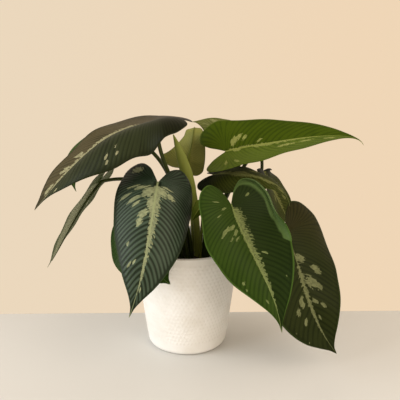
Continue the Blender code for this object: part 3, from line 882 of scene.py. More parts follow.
@dataclass
class NewLeaf:
    """The youngest leaf, rolled into a spindle: one margin laps over the other in a long spiral seam."""

    path: tuple = ((0.014, 0.002, STEM_FOOT_DEPTH), (0.018, 0.001, 0.180), (0.006, 0.000, 0.240),
                   (-0.018, -0.004, 0.301))
    places: tuple = (0.0, 0.10, 0.40, 0.60, 0.72, 0.84, 0.93, 1.0)
    half_widths: tuple = (0.0044, 0.0044, 0.0050, 0.0088, 0.0092, 0.0072, 0.0040, 0.0008)
    half_depths: tuple = (0.0044, 0.0044, 0.0046, 0.0056, 0.0052, 0.0040, 0.0024, 0.0006)
    steps: int = 120
    sides: int = 56
    lap_start: float = 0.46
    lap_depth: float = 0.22
    seam_turn: float = 5.3
    # the near-black underside colours here are painted shade for the lapped strip on the dark side of the spindle
    tone: LeafTone = LeafTone((0.20, 0.23, 0.045), (0.13, 0.16, 0.025), (0.26, 0.28, 0.07), (0.28, 0.30, 0.08),
                              (0.035, 0.055, 0.006), (0.020, 0.035, 0.003), (0.20, 0.23, 0.045), gloss=0.15)

    def build(self) -> bpy.types.Object:
        """Make the rolled leaf and show it in place of its solid."""
        along = np.linspace(0, 1, self.steps + 1)
        path = bezier(self.path, along)
        heading = unit(np.gradient(path, axis=0))
        widths = np.interp(along, self.places, self.half_widths)
        depths = np.interp(along, self.places, self.half_depths)
        turns = np.linspace(0, 1, self.sides, endpoint=False)
        across = unit(np.cross(heading[0], (0.0, 1.0, 0.0)))
        rings, maps, marks = [], [], []
        for i, (centre, forward) in enumerate(zip(path, heading)):
            across = unit(across - (across @ forward) * forward)
            second = np.cross(forward, across)
            lap = self.lap_depth * smooth_step(self.lap_start, self.lap_start + 0.1, along[i])
            scale = 1 - lap * turns
            angle = 2 * math.pi * turns + self.seam_turn
            ring = (widths[i] * np.cos(angle) * scale)[:, None] * across
            ring = ring + (depths[i] * np.sin(angle) * scale)[:, None] * second
            rings.append(centre + ring)
            maps.append(np.stack((turns, np.full(self.sides, along[i])), -1))
            marks.append(np.clip(1.2 - 8 * turns, 0, 1) * smooth_step(0.4, 0.6, along[i]))
        faces = []
        for i in range(self.steps):
            for k in range(self.sides):
                a, b = i * self.sides + k, i * self.sides + (k + 1) % self.sides
                faces.append((a, b, b + self.sides, a + self.sides))
        last = self.steps * self.sides
        parts = MeshParts()
        values = {Layer.MARKING: np.concatenate(marks), Layer.RELIEF: np.full(last + self.sides, 0.6)}
        parts.add(np.vstack(rings), faces, 0, np.vstack(maps), values)
        parts.faces += [tuple(range(self.sides))[::-1], tuple(range(last, last + self.sides))]
        parts.slots += [0, 0]
        # the lapped strip takes the underside finish, whose dark colours are painted shade
        for number, face in enumerate(faces):
            turn, place = (number % self.sides) / self.sides, (number // self.sides) / self.steps
            if turn > 0.80 and place > self.lap_start:
                parts.slots[number] = 1
        materials = [UpperFinish("new_leaf_upper", self.tone, (3.0, 20.0, 1.0)).build(),
                     UnderFinish("new_leaf_shaded_lap", self.tone).build()]
        return add_piece("new_leaf_fine", parts.mesh("new_leaf_fine", materials), ["new_leaf"])


@dataclass
class Pot:
    """The pot: a turned wall whose outside carries rows of small staggered bosses."""

    height: float = 0.149
    rim_radius: float = 0.075
    foot_radius: float = 0.056
    wall: float = 0.005
    floor: float = 0.008
    foot_rounding: float = 0.007
    rim_rounding: float = 0.0016
    columns: int = 72
    row_pitch: float = 0.0056
    boss_height: float = 0.0005
    plain_foot: float = 0.012
    plain_rim: float = 0.005
    fineness: int = 6

    def radius(self, height: float) -> float:
        """Outer radius of the straight tapered wall."""
        return self.foot_radius + (self.rim_radius - self.foot_radius) * height / self.height

    def profile(self) -> list[Pair]:
        """The turned outline, from the middle of the underside round to the middle of the floor."""
        foot = (self.radius(self.foot_rounding) - self.foot_rounding, self.foot_rounding)
        rim = self.rim_rounding
        points = [(0.0, 0.0), (foot[0] * 0.5, 0.0)]
        for turn in np.radians(np.linspace(-90, 0, 13)):
            points.append((foot[0] + foot[1] * math.cos(turn), foot[1] + foot[1] * math.sin(turn)))
        rows = round((self.height - rim - foot[1]) / self.row_pitch * self.fineness)
        for z in np.linspace(foot[1], self.height - rim, rows)[1:-1]:
            points.append((self.radius(z), z))
        for turn in np.radians(np.linspace(0, 90, 7)):
            points.append((self.rim_radius - rim + rim * math.cos(turn), self.height - rim + rim * math.sin(turn)))
        inner = self.rim_radius - self.wall
        for turn in np.radians(np.linspace(90, 180, 7)):
            points.append((inner + rim + rim * math.cos(turn), self.height - rim + rim * math.sin(turn)))
        low = self.radius(self.floor) - self.wall
        for share in np.linspace(0, 1, 9)[1:]:
            points.append((inner + (low - inner) * share, self.height - rim + (self.floor - self.height + rim) * share))
        points += [(low * 0.5, self.floor), (0.0, self.floor)]
        return points

    def turned(self) -> bpy.types.Object:
        """The plain turned pot."""
        profile = self.profile()
        count = self.columns * self.fineness
        turns = 2 * math.pi * np.arange(count) / count
        points = [(0.0, 0.0, profile[0][1])]
        for radius, z in profile[1:-1]:
            points += [(radius * math.cos(turn), radius * math.sin(turn), z) for turn in turns]
        points.append((0.0, 0.0, profile[-1][1]))
        faces = []
        rings = len(profile) - 2
        end = len(points) - 1
        for k in range(count):
            after = (k + 1) % count
            faces.append((0, 1 + after, 1 + k))
            faces.append((1 + (rings - 1) * count + k, 1 + (rings - 1) * count + after, end))
            for ring in range(rings - 1):
                low, high = 1 + ring * count, 1 + (ring + 1) * count
                faces.append((low + k, low + after, high + after, high + k))
        mesh = bpy.data.meshes.new("pot_fine")
        mesh.from_pydata(points, [], faces)
        mesh.shade_smooth()
        thing = bpy.data.objects.new("pot_turning", mesh)
        bpy.context.scene.collection.objects.link(thing)
        return thing

    def relief_tree(self) -> bpy.types.NodeTree:
        """A tree that raises a round boss in each cell of a staggered grid on the outside wall."""
        tree, sheet, given = new_tree("pot_relief", {
            "Columns": "NodeSocketFloat", "Row pitch": "NodeSocketFloat", "Boss height": "NodeSocketFloat",
            "Lowest": "NodeSocketFloat", "Highest": "NodeSocketFloat", "Inside radius": "NodeSocketFloat",
            "Finish": "NodeSocketMaterial",
        })
        place = sheet.add("GeometryNodeInputPosition").outputs[0]
        parts = sheet.add("ShaderNodeSeparateXYZ", {0: place})
        x, y, z = parts.outputs
        turn = sheet.math("DIVIDE", sheet.math("ARCTAN2", y, x), 2 * math.pi)
        row = sheet.math("DIVIDE", z, given.outputs["Row pitch"])
        stagger = sheet.math("MULTIPLY", sheet.math("FLOORED_MODULO", sheet.math("FLOOR", row), 2.0), 0.5)
        column = sheet.math("ADD", sheet.math("MULTIPLY", turn, given.outputs["Columns"]), stagger)
        beside = sheet.math("SUBTRACT", sheet.math("FRACT", column), 0.5)
        above = sheet.math("SUBTRACT", sheet.math("FRACT", row), 0.5)
        far = sheet.math("SQRT", sheet.math("ADD", sheet.math("MULTIPLY", beside, beside),
                                            sheet.math("MULTIPLY", above, above)))
        boss = sheet.span(far, 0.12, 0.46, 1.0, 0.0)
        radius = sheet.math("SQRT", sheet.math("ADD", sheet.math("MULTIPLY", x, x), sheet.math("MULTIPLY", y, y)))
        inner = sheet.math("MULTIPLY_ADD", z, (self.rim_radius - self.foot_radius) / self.height,
                           given.outputs["Inside radius"])
        outside = sheet.math("GREATER_THAN", radius, inner)
        low = sheet.math("GREATER_THAN", z, given.outputs["Lowest"])
        high = sheet.math("LESS_THAN", z, given.outputs["Highest"])
        there = sheet.math("MULTIPLY", outside, sheet.math("MULTIPLY", low, high))
        lift = sheet.math("MULTIPLY", sheet.math("MULTIPLY", boss, there), given.outputs["Boss height"])
        normal = sheet.add("GeometryNodeInputNormal").outputs[0]
        offset = sheet.add("ShaderNodeVectorMath", {0: normal, 3: lift}, operation="SCALE").outputs[0]
        moved = sheet.add("GeometryNodeSetPosition", {"Geometry": given.outputs["Shape"], "Offset": offset})
        real = sheet.add("GeometryNodeRealizeInstances", {0: moved.outputs[0]})
        dressed = sheet.add("GeometryNodeSetMaterial", {0: real.outputs[0], "Material": given.outputs["Finish"]})
        sheet.add("NodeGroupOutput", {0: dressed.outputs[0]})
        return tree

    def build(self) -> bpy.types.Object:
        """Make the pot and show it in place of its solid."""
        rows = math.floor((self.height - self.plain_rim) / self.row_pitch)
        mesh = grow(self.turned(), self.relief_tree(), {
            "Columns": float(self.columns), "Row pitch": self.row_pitch, "Boss height": self.boss_height,
            "Lowest": math.ceil(self.plain_foot / self.row_pitch) * self.row_pitch,
            "Highest": rows * self.row_pitch, "Inside radius": self.foot_radius - self.wall / 2,
            "Finish": PotFinish().build(),
        })
        return add_piece("pot_fine", mesh, ["pot"])


@dataclass
class Soil:
    """The soil: an uneven bed with loose crumbs on it."""

    top: float = 0.123
    dome: float = 0.003
    floor: float = 0.0084
    low_radius: float = 0.0512
    top_radius: float = 0.0659
    rings: int = 44
    segments: int = 160
    unevenness: float = 0.0012
    crumb_count: float = 260000.0
    crumb_size: Pair = (0.0005, 0.0018)
    seed: int = 11

    def bed(self) -> bpy.types.Object:
        """The closed bed of soil."""
        rng = np.random.default_rng(self.seed)
        waves = rng.uniform(-1, 1, (9, 2)) * 260
        shifts = rng.uniform(0, 2 * math.pi, 9)
        points = [(0.0, 0.0, self.floor)]
        turns = 2 * math.pi * np.arange(self.segments) / self.segments
        layers = [(self.low_radius, self.floor, 0.0)]
        for share in np.linspace(1, 0, self.rings)[:-1]:
            layers.append((self.top_radius * share, self.top + self.dome * (1 - share ** 2), 1.0))
        for radius, z, rough in layers:
            x, y = radius * np.cos(turns), radius * np.sin(turns)
            bumps = sum(np.sin(a * x + b * y + c) for (a, b), c in zip(waves, shifts)) / 3
            points += list(zip(x, y, z + rough * self.unevenness * bumps))
        points.append((0.0, 0.0, self.top + self.dome))
        end = len(points) - 1
        faces = []
        for k in range(self.segments):
            after = (k + 1) % self.segments
            faces.append((0, 1 + after, 1 + k))
            last = 1 + (len(layers) - 1) * self.segments
            faces.append((last + k, last + after, end))
            for ring in range(len(layers) - 1):
                low, high = 1 + ring * self.segments, 1 + (ring + 1) * self.segments
                faces.append((low + k, low + after, high + after, high + k))
        mesh = bpy.data.meshes.new("soil_bed")
        mesh.from_pydata(points, [], faces)
        mesh.shade_smooth()
        thing = bpy.data.objects.new("soil_bed", mesh)
        bpy.context.scene.collection.objects.link(thing)
        return thing

    def crumb_tree(self) -> bpy.types.NodeTree:
        """A tree that strews crumbs over the top of the bed."""
        tree, sheet, given = new_tree("soil_crumbs", {
            "Crumbs per square metre": "NodeSocketFloat", "Smallest": "NodeSocketFloat",
            "Largest": "NodeSocketFloat", "Seed": "NodeSocketInt", "Finish": "NodeSocketMaterial",
        })
        normal = sheet.add("GeometryNodeInputNormal").outputs[0]
        upward = sheet.add("ShaderNodeSeparateXYZ", {0: normal}).outputs[2]
        scattered = sheet.add("GeometryNodeDistributePointsOnFaces", {
            "Mesh": given.outputs["Shape"], "Selection": sheet.math("GREATER_THAN", upward, 0.6),
            "Density": given.outputs["Crumbs per square metre"], "Seed": given.outputs["Seed"],
        })
        crumb = sheet.add("GeometryNodeMeshIcoSphere", {"Radius": 1.0, "Subdivisions": 1})
        size = sheet.add("FunctionNodeRandomValue", {2: given.outputs["Smallest"], 3: given.outputs["Largest"],
                                                     "Seed": given.outputs["Seed"]})
        squash = sheet.add("FunctionNodeRandomValue", {0: (0.5, 0.5, 0.4), 1: (1.0, 1.0, 0.8), "Seed": 3},
                           data_type="FLOAT_VECTOR")
        scale = sheet.add("ShaderNodeVectorMath", {0: squash.outputs[0], 3: size.outputs[1]}, operation="SCALE")
        turn = sheet.add("FunctionNodeRandomValue", {0: (0.0, 0.0, 0.0), 1: (6.28, 6.28, 6.28), "Seed": 5},
                         data_type="FLOAT_VECTOR")
        strewn = sheet.add("GeometryNodeInstanceOnPoints", {
            "Points": scattered.outputs["Points"], "Instance": crumb.outputs["Mesh"],
            "Rotation": turn.outputs[0], "Scale": scale.outputs[0],
        })
        real = sheet.add("GeometryNodeRealizeInstances", {0: strewn.outputs[0]})
        joined = sheet.add("GeometryNodeJoinGeometry", {0: real.outputs[0]})
        tree.links.new(given.outputs["Shape"], joined.inputs[0])
        dressed = sheet.add("GeometryNodeSetMaterial", {0: joined.outputs[0], "Material": given.outputs["Finish"]})
        sheet.add("NodeGroupOutput", {0: dressed.outputs[0]})
        return tree

    def build(self) -> bpy.types.Object:
        """Make the soil and show it in place of its solid."""
        mesh = grow(self.bed(), self.crumb_tree(), {
            "Crumbs per square metre": self.crumb_count, "Smallest": self.crumb_size[0],
            "Largest": self.crumb_size[1], "Seed": self.seed, "Finish": SoilFinish().build(),
        })
        return add_piece("soil_fine", mesh, ["soil"])


# its bluish ridge colour is partly a painted reflection of the cool window light
BLUE_GREEN = LeafTone((0.046, 0.072, 0.045), (0.007, 0.015, 0.005), (0.28, 0.31, 0.17), (0.26, 0.30, 0.15),
                      (0.030, 0.055, 0.012), (0.015, 0.030, 0.006), (0.024, 0.048, 0.012),
                      lobe_shade_and_tint=(0.50, 0.58, 0.52), sharpness=2.6, unevenness=0.9, gloss=0.18)
HANGING = LeafTone((0.170, 0.200, 0.120), (0.080, 0.105, 0.050), (0.58, 0.60, 0.42), (0.40, 0.42, 0.26),
                   (0.080, 0.110, 0.040), (0.040, 0.060, 0.018), (0.070, 0.095, 0.035), unevenness=1.4, gloss=0.2)
MID_GREEN = LeafTone((0.027, 0.052, 0.006), (0.015, 0.032, 0.003), (0.17, 0.205, 0.075), (0.16, 0.21, 0.065),
                     (0.075, 0.125, 0.038), (0.050, 0.085, 0.022), (0.055, 0.105, 0.016),
                     right_half_shade=(0.50, 0.48, 0.65), unevenness=0.9, gloss=0.05)
LOW_GREEN = LeafTone((0.020, 0.048, 0.004), (0.012, 0.030, 0.002), (0.16, 0.20, 0.065), (0.10, 0.15, 0.04),
                     (0.040, 0.080, 0.010), (0.020, 0.045, 0.006), (0.030, 0.060, 0.008), gloss=0.08)
# its very dark lobe tint is painted deep shade over the lobe
NIGHT_GREEN = LeafTone((0.045, 0.055, 0.010), (0.022, 0.030, 0.005), (0.17, 0.18, 0.06), (0.15, 0.17, 0.06),
                       (0.060, 0.080, 0.016), (0.030, 0.045, 0.008), (0.050, 0.070, 0.012),
                       lobe_shade_and_tint=(0.08, 0.13, 0.06), gloss=0.04)
DARK_WARM = LeafTone((0.020, 0.027, 0.006), (0.011, 0.016, 0.003), (0.18, 0.20, 0.095), (0.15, 0.17, 0.07),
                     (0.060, 0.080, 0.020), (0.030, 0.045, 0.010), (0.030, 0.050, 0.010),
                     lobe_shade_and_tint=(1.35, 0.95, 1.1), unevenness=1.1, gloss=0.05)
BROWNISH = LeafTone((0.068, 0.056, 0.026), (0.032, 0.028, 0.011), (0.32, 0.31, 0.18), (0.23, 0.22, 0.12),
                    (0.040, 0.050, 0.020), (0.020, 0.028, 0.010), (0.018, 0.023, 0.008),
                    right_half_shade=(0.36, 0.55, 0.46), lobe_shade_and_tint=(0.36, 0.34, 0.24), unevenness=1.3, gloss=0.07)
BRIGHT = LeafTone((0.075, 0.110, 0.010), (0.048, 0.076, 0.005), (0.24, 0.26, 0.075), (0.19, 0.225, 0.045),
                  (0.10, 0.14, 0.03), (0.06, 0.09, 0.015), (0.070, 0.100, 0.008), right_half_shade=(0.54, 0.60, 0.14),
                  unevenness=1.8, gloss=0.06)
BACK_GREEN = LeafTone((0.040, 0.075, 0.010), (0.020, 0.045, 0.006), (0.22, 0.27, 0.10), (0.12, 0.18, 0.04),
                      (0.06, 0.10, 0.02), (0.03, 0.06, 0.01), (0.020, 0.040, 0.006), gloss=0.08)
PALE = LeafTone((0.120, 0.140, 0.035), (0.080, 0.095, 0.018), (0.22, 0.23, 0.10), (0.17, 0.19, 0.06),
                (0.215, 0.220, 0.048), (0.105, 0.115, 0.022), (0.10, 0.12, 0.03), roughness=0.45, gloss=0.12)

# the dark stem colours are the stem green as it looks in shade: painted shade
SHADED_STEM = StemFinish("stem_painted_shade", (0.042, 0.058, 0.006), (0.015, 0.024, 0.003))
PALE_STEM = StemFinish("stem_pale", (0.150, 0.165, 0.022), (0.070, 0.090, 0.010))

LEFT, RIGHT = Half.LEFT, Half.RIGHT

FOLIAGE = (
    LeafPiece(
        Leaf("leaf_high_left", (-0.033, -0.017, 0.322), (-0.092, -0.021, 0.309), (-0.109, -0.053, 0.313),
             (-0.195, -0.058, 0.2115), (-42, 112), (-59, 52), (0.049, 0.062), (18, 8), (1, 82), 0.18, 46,
             (0.006, -0.006), (0.008, -0.006, 0.215), (-0.056, -0.012, 0.282), wave=0.0024,
             fullness=(-0.11, 0.10), bluntness=(5.0, 0.3)),
        BROWNISH,
        (Patch(LEFT, 0.72, 0.09, 0.050, 0.10), Patch(LEFT, 0.66, 0.04, 0.050, 0.06),
         Patch(LEFT, 0.80, 0.30, 0.016, 0.15), Patch(LEFT, 0.87, 0.29, 0.016, 0.15),
         Patch(LEFT, 0.94, 0.35, 0.020, 0.20), Patch(RIGHT, 0.88, 0.88, 0.008, 0.08),
         Patch(RIGHT, 0.96, 0.38, 0.008, 0.20), Patch(RIGHT, 0.67, 0.75, 0.007, 0.05),
         Patch(RIGHT, 0.66, 0.85, 0.005, 0.04), Patch(RIGHT, 0.64, 0.65, 0.006, 0.05),
         Patch(RIGHT, 0.62, 0.79, 0.007, 0.05)),
        (Feather(LEFT, 0.55, 0.98, 0.13), Feather(RIGHT, 0.60, 0.98, 0.05)),
        SHADED_STEM, quilt=0.0003, vein_count=44),
    LeafPiece(
        Leaf("leaf_back_left", (-0.085, 0.042, 0.290), (-0.127, 0.058, 0.285), (-0.190, 0.078, 0.258),
             (-0.171, 0.090, 0.199), (-26, 62), (-10, 38), (0.052, 0.044), (4, 12), (34, 25), 0.15, 10,
             (-0.001, 0.012), (-0.003, 0.014, 0.215), (-0.032, 0.014, 0.284)),
        BACK_GREEN,
        (Patch(LEFT, 0.80, 0.94, 0.010, 0.06), Patch(LEFT, 0.81, 0.52, 0.008, 0.12)),
        (),
        SHADED_STEM, Slot.LEAF_BRIGHT),
    LeafPiece(
        Leaf("leaf_left_hanging", (-0.120, 0.011, 0.235), (-0.157, 0.004, 0.193), (-0.1745, 0.004, 0.147),
             (-0.206, 0.023, 0.101), (-89, 14), (-99, -3), (0.043, 0.043), (7, 19), (31, 24), 0.14, 2,
             (-0.007, 0.002), (-0.010, 0.002, 0.236), (-0.072, 0.002, 0.247), fullness=(-0.04, -0.05)),
        HANGING,
        (Patch(LEFT, 0.53, 0.62, 0.030, 0.20), Patch(LEFT, 0.64, 0.44, 0.040, 0.25),
         Patch(LEFT, 0.73, 0.61, 0.030, 0.20), Patch(LEFT, 0.42, 0.68, 0.020, 0.15),
         Patch(RIGHT, 0.84, 0.25, 0.030, 0.20), Patch(RIGHT, 0.88, 0.68, 0.020, 0.20)),
        (Feather(RIGHT, 0.40, 0.98, 0.80), Feather(LEFT, 0.40, 0.98, 0.60)),
        SHADED_STEM),
    LeafPiece(
        Leaf("leaf_front_left", (-0.037, -0.057, 0.247), (-0.043, -0.093, 0.216), (-0.048, -0.125, 0.157),
             (-0.070, -0.137, 0.099), (-2, 43), (-8, 22), (0.058, 0.057), (5, -3), (50, 72), 0.22, 19,
             (0.003, -0.018), (-0.004, -0.022, 0.193), (-0.042, -0.018, 0.243)),
        BLUE_GREEN,
        (Patch(LEFT, 0.20, 0.75, 0.030, 0.12), Patch(LEFT, 0.40, 0.48, 0.011, 0.15),
         Patch(LEFT, 0.44, 0.28, 0.018, 0.17), Patch(LEFT, 0.51, 0.14, 0.045, 0.13),
         Patch(LEFT, 0.60, 0.06, 0.050, 0.09), Patch(LEFT, 0.46, 0.64, 0.011, 0.17),
         Patch(LEFT, 0.52, 0.45, 0.015, 0.16), Patch(LEFT, 0.56, 0.40, 0.012, 0.10),
         Patch(LEFT, 0.64, 0.22, 0.020, 0.13), Patch(LEFT, 0.67, 0.31, 0.020, 0.10),
         Patch(LEFT, 0.73, 0.65, 0.008, 0.05), Patch(LEFT, 0.81, 0.68, 0.006, 0.10),
         Patch(LEFT, 0.82, 0.50, 0.007, 0.10), Patch(RIGHT, 0.50, 0.11, 0.050, 0.13),
         Patch(RIGHT, 0.44, 0.20, 0.012, 0.13), Patch(RIGHT, 0.50, 0.31, 0.022, 0.12),
         Patch(RIGHT, 0.92, 0.35, 0.008, 0.10)),
        (Feather(RIGHT, 0.45, 0.97, 0.13), Feather(LEFT, 0.45, 0.97, 0.06)),
        SHADED_STEM, quilt=0.0008, vein_count=44),
    LeafPiece(
        Leaf("leaf_front_left_low", (-0.056, -0.046, 0.190), (-0.058, -0.070, 0.152), (-0.040, -0.090,
             0.136), (-0.021, -0.100, 0.126), (-20, 30), (15, 8), (0.052, 0.050), (5, 6), (36, 32), 0.16,
             10, (-0.003, -0.010), (-0.012, -0.012, 0.165), (-0.046, -0.016, 0.197), fullness=(0.08, 0.2),
             bluntness=(0.5, 2.2)),
        LOW_GREEN,
        (),
        (Feather(RIGHT, 0.45, 0.9, 0.08),),
        SHADED_STEM),
    LeafPiece(
        Leaf("leaf_front_right", (0.056, -0.068, 0.221), (0.074, -0.093, 0.166), (0.105, -0.132, 0.140),
             (0.113, -0.148, 0.083), (60, 46), (3, 24), (0.049, 0.064), (8, 16), (56, -20), 0.18, 22,
             (0.027, -0.018), (0.031, -0.022, 0.180), (0.034, -0.046, 0.222), curl=(0.05, 0.60, 220, 0.86),
             fullness=(0.16, 0.0)),
        MID_GREEN,
        (Patch(LEFT, 0.38, 0.30, 0.015, 0.09), Patch(LEFT, 0.26, 0.52, 0.009, 0.10),
         Patch(LEFT, 0.42, 0.50, 0.007, 0.07), Patch(LEFT, 0.54, 0.46, 0.013, 0.15),
         Patch(LEFT, 0.56, 0.25, 0.014, 0.11), Patch(LEFT, 0.60, 0.21, 0.014, 0.09),
         Patch(LEFT, 0.60, 0.40, 0.006, 0.07), Patch(LEFT, 0.63, 0.25, 0.006, 0.08),
         Patch(RIGHT, 0.24, 0.50, 0.012, 0.07), Patch(RIGHT, 0.64, 0.66, 0.005, 0.03),
         Patch(RIGHT, 0.72, 0.35, 0.006, 0.09), Patch(RIGHT, 0.78, 0.81, 0.005, 0.03),
         Patch(LEFT, 0.74, 0.82, 0.009, 0.04), Patch(LEFT, 0.76, 0.90, 0.006, 0.03),
         Patch(LEFT, 0.88, 0.66, 0.010, 0.05)),
        (Feather(RIGHT, 0.42, 0.97, 0.16), Feather(LEFT, 0.46, 0.97, 0.05)),
        SHADED_STEM, quilt=0.0002, vein_count=40, fold_width=0.12),
    LeafPiece(
        Leaf("leaf_low_right", (0.132, -0.038, 0.174), (0.153, -0.055, 0.134), (0.150, -0.108, 0.085),
             (0.199, -0.088, 0.020), (39, 35), (15, -22), (0.066, 0.068), (17, 18), (20, 34), 0.19, 9,
             (0.036, -0.009), (0.046, -0.010, 0.172), (0.104, -0.012, 0.186), fullness=(0.22, -0.02),
             bluntness=(1.4, 0.0)),
        DARK_WARM,
        (Patch(RIGHT, 0.61, 0.08, 0.026, 0.14), Patch(RIGHT, 0.64, 0.44, 0.020, 0.13),
         Patch(RIGHT, 0.72, 0.25, 0.028, 0.19), Patch(RIGHT, 0.72, 0.46, 0.014, 0.10),
         Patch(LEFT, 0.78, 0.29, 0.020, 0.11), Patch(LEFT, 0.78, 0.54, 0.012, 0.08),
         Patch(LEFT, 0.83, 0.50, 0.010, 0.10), Patch(RIGHT, 0.80, 0.25, 0.010, 0.13),
         Patch(RIGHT, 0.80, 0.50, 0.008, 0.11), Patch(RIGHT, 0.86, 0.24, 0.008, 0.08),
         Patch(LEFT, 0.79, 0.91, 0.006, 0.03), Patch(LEFT, 0.86, 0.90, 0.006, 0.03)),
        (Feather(RIGHT, 0.62, 0.98, 0.07), Feather(LEFT, 0.66, 0.98, 0.09)),
        SHADED_STEM, quilt=0.0002, vein_count=40),
    LeafPiece(
        Leaf("leaf_high_right", (0.055, 0.021, 0.274), (0.101, 0.024, 0.283), (0.2315, 0.007, 0.3145),
             (0.239, -0.0075, 0.287), (7, 55), (25, 63), (0.054, 0.054), (6, 14), (-31, 9), 0.16, 24,
             (0.025, 0.006), (0.029, 0.026, 0.205), (0.053, 0.060, 0.244), fullness=(0.01, -0.17),
             bluntness=(-0.9, -0.4)),
        BRIGHT,
        (Patch(RIGHT, 0.44, 0.26, 0.028, 0.15), Patch(RIGHT, 0.47, 0.38, 0.018, 0.11),
         Patch(RIGHT, 0.51, 0.34, 0.014, 0.10), Patch(LEFT, 0.62, 0.01, 0.030, 0.06),
         Patch(LEFT, 0.48, 0.02, 0.030, 0.06), Patch(LEFT, 0.26, 0.52, 0.016, 0.12),
         Patch(LEFT, 0.38, 0.52, 0.016, 0.12), Patch(LEFT, 0.72, 0.34, 0.040, 0.08),
         Patch(LEFT, 0.80, 0.38, 0.030, 0.08), Patch(LEFT, 0.87, 0.64, 0.020, 0.15),
         Patch(RIGHT, 0.62, 0.19, 0.010, 0.08)),
        (Feather(LEFT, 0.60, 0.96, 0.10), Feather(RIGHT, 0.40, 0.70, 0.05)),
        SHADED_STEM, Slot.LEAF_BRIGHT, 0.00015),
    LeafPiece(
        Leaf("leaf_centre_right", (0.037, 0.011, 0.243), (0.067, -0.010, 0.250), (0.131, -0.025, 0.252),
             (0.138, -0.032, 0.208), (45, 42), (72, 22), (0.033, 0.027), (-10, 3), (18, 22), 0.15, 10,
             (0.023, -0.008), (0.027, -0.006, 0.190), (0.030, 0.004, 0.216)),
        NIGHT_GREEN,
        (Patch(RIGHT, 0.66, 0.18, 0.050, 0.20), Patch(RIGHT, 0.66, 0.76, 0.030, 0.15),
         Patch(LEFT, 0.84, 0.24, 0.030, 0.20), Patch(LEFT, 0.90, 0.62, 0.020, 0.20)),
        (Feather(RIGHT, 0.45, 0.95, 0.20), Feather(LEFT, 0.6, 0.95, 0.15)),
        SHADED_STEM),
    LeafPiece(
        Leaf("leaf_back_right", (0.111, 0.042, 0.242), (0.117, 0.035, 0.2255), (0.144, 0.052, 0.186),
             (0.160, 0.061, 0.147), (67, 35), (26, 8), (0.035, 0.0365), (20, 18), (26, 40), 0.02, 20,
             (0.038, 0.006), (0.050, 0.018, 0.262), (0.112, 0.043, 0.320)),
        NIGHT_GREEN,
        (Patch(RIGHT, 0.33, 0.02, 0.050, 0.12), Patch(LEFT, 0.54, 0.21, 0.040, 0.15),
         Patch(LEFT, 0.64, 0.40, 0.030, 0.12), Patch(RIGHT, 0.70, 0.59, 0.030, 0.12)),
        (Feather(RIGHT, 0.35, 0.95, 0.15), Feather(LEFT, 0.35, 0.95, 0.15)),
        SHADED_STEM),
    LeafPiece(
        Leaf("leaf_back", (0.106, 0.086, 0.284), (0.069, 0.0865, 0.280), (0.030, 0.093, 0.310), (0.0075,
             0.079, 0.3085), (1, 62), (-7, 33), (0.030, 0.033), (12, -2), (32, 32), 0.14, 10, (0.033,
             0.024), (0.046, 0.050, 0.225), (0.110, 0.094, 0.250), fullness=(0.05, 0.09)),
        PALE,
        (Patch(LEFT, 0.92, 0.06, 0.030, 0.20), Patch(LEFT, 0.80, 0.78, 0.030, 0.15)),
        (),
        SHADED_STEM, Slot.LEAF_BRIGHT),
    LeafPiece(
        Leaf("leaf_middle", (-0.001, 0.057, 0.244), (0.008, 0.050, 0.268), (0.012, 0.060, 0.320), (0.012,
             0.098, 0.292), (172, 11), (0, -50), (0.044, 0.026), (12, 10), (0, 0), 0.10, 4, (0.010, 0.017),
             (0.010, 0.020, 0.170), (0.006, 0.056, 0.190), fullness=(-0.45, -0.12), bluntness=(0.5, 0.5)),
        PALE, (), (), PALE_STEM, Slot.LEAF_BRIGHT),
    LeafPiece(
        Leaf("leaf_young", (0.021, -0.032, 0.212), (0.017, -0.037, 0.208), (0.010, -0.041, 0.200), (0.006,
             -0.042, 0.190), (10, 50), (0, 20), (0.009, 0.009), (15, 15), (20, 20), 0.12, 10, (0.018,
             -0.020), (0.019, -0.021, 0.170), (0.022, -0.026, 0.196), 0.0003),
        BRIGHT, (), (), PALE_STEM, Slot.LEAF_BRIGHT, 0.0001, rows=96, columns=12),
)


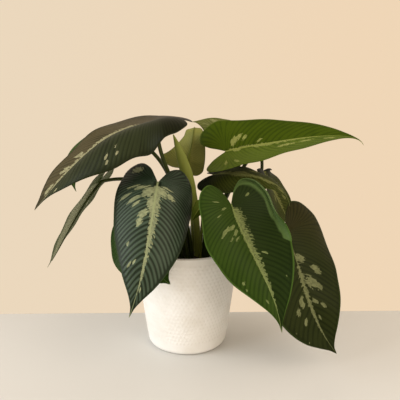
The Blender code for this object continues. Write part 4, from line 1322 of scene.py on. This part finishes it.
@dataclass
class Studio:
    """The table, the backdrop, the lights and the camera."""

    table_back: float = 0.083
    table_front: float = -1.6
    table_half_width: float = 1.8
    table_thickness: float = 0.03
    backdrop_left: Color = (0.83, 0.685, 0.51)
    backdrop_right: Color = (0.865, 0.672, 0.470)
    ambient: Color = (1.0, 0.84, 0.66)
    ambient_strength: float = 0.78
    camera_place: Point = (0.0, -0.740, 0.402)
    camera_down: float = 14.6
    camera_right: float = 1.41
    camera_roll: float = 0.17
    field_of_view: float = 40.0

    def table(self) -> None:
        """The table top, with a softly rounded back edge."""
        corner = 0.006
        turns = np.radians(np.linspace(90, 0, 7))
        edge = [(self.table_back - corner + corner * math.cos(a), -corner + corner * math.sin(a)) for a in turns]
        line = [(self.table_front, -self.table_thickness), (self.table_front, 0.0)] + edge
        line.append((self.table_back, -self.table_thickness))
        count = len(line)
        points = [(x, y, z) for x in (-self.table_half_width, self.table_half_width) for y, z in line]
        faces = [(k, (k + 1) % count, (k + 1) % count + count, k + count) for k in range(count)]
        faces += [tuple(range(count))[::-1], tuple(range(count, 2 * count))]
        mesh = bpy.data.meshes.new("table")
        mesh.from_pydata(points, [], faces)
        mesh.materials.append(TableFinish().build())
        table = bpy.data.objects.new("table", mesh)
        bpy.context.scene.collection.objects.link(table)

    def backdrop(self) -> None:
        """A plain warm backdrop, which also lights the plant softly."""
        world = bpy.data.worlds.new("backdrop")
        world.use_nodes = True
        sheet = NodeSheet(world.node_tree)
        side = sheet.add("ShaderNodeSeparateXYZ", {0: sheet.add("ShaderNodeTexCoord").outputs["Generated"]})
        share = sheet.span(side.outputs[0], -0.4, 0.4)
        seen_color = sheet.mix(share, rgba(self.backdrop_left), rgba(self.backdrop_right))
        seen = sheet.add("ShaderNodeBackground", {"Color": seen_color, "Strength": 1.0})
        soft = sheet.add("ShaderNodeBackground", {"Color": rgba(self.ambient), "Strength": self.ambient_strength})
        by_camera = sheet.add("ShaderNodeLightPath").outputs["Is Camera Ray"]
        mixed = sheet.add("ShaderNodeMixShader", {0: by_camera, 1: soft.outputs[0], 2: seen.outputs[0]})
        sheet.add("ShaderNodeOutputWorld", {"Surface": mixed.outputs[0]})
        bpy.context.scene.world = world

    def light(self, name: str, place: Point, target: Point, size: float, power: float, color: Color) -> None:
        """A square soft light that looks at a target."""
        data = bpy.data.lights.new(name, "AREA")
        data.size = size
        data.energy = power
        data.color = color
        lamp = bpy.data.objects.new(name, data)
        lamp.location = place
        lamp.rotation_euler = (Vector(target) - Vector(place)).to_track_quat("-Z", "Y").to_euler()
        bpy.context.scene.collection.objects.link(lamp)

    def lights(self) -> None:
        """A large soft window light from the left and front, and a faint fill."""
        self.light("window", (-2.9, -1.0, 1.6), (0.0, 0.0, 0.15), 2.4, 92.0, (0.93, 0.98, 1.0))
        self.light("fill", (1.6, -1.4, 1.5), (0.0, 0.0, 0.10), 2.0, 34.0, (1.0, 0.86, 0.70))

    def camera(self) -> None:
        """The camera at the photograph's place."""
        data = bpy.data.cameras.new("camera")
        data.sensor_width = 36.0
        data.lens = data.sensor_width / 2 / math.tan(math.radians(self.field_of_view) / 2)
        camera = bpy.data.objects.new("camera", data)
        turn = Matrix.Rotation(-math.radians(self.camera_right), 4, "Z")
        tilt = Matrix.Rotation(math.radians(90 - self.camera_down), 4, "X")
        roll = Matrix.Rotation(math.radians(self.camera_roll), 4, "Z")
        camera.matrix_world = Matrix.Translation(self.camera_place) @ turn @ tilt @ roll
        bpy.context.scene.collection.objects.link(camera)
        bpy.context.scene.camera = camera

    def build(self) -> None:
        """Set everything up."""
        self.table()
        self.backdrop()
        self.lights()
        self.camera()
        bpy.context.scene.view_settings.view_transform = "Standard"


def main() -> None:
    """Build every piece in order."""
    logging.basicConfig(level=logging.INFO, format="%(message)s")
    Studio().build()
    Pot().build()
    Soil().build()
    for leaf in FOLIAGE:
        leaf.build()
    NewLeaf().build()


if __name__ == "__main__":
    main()
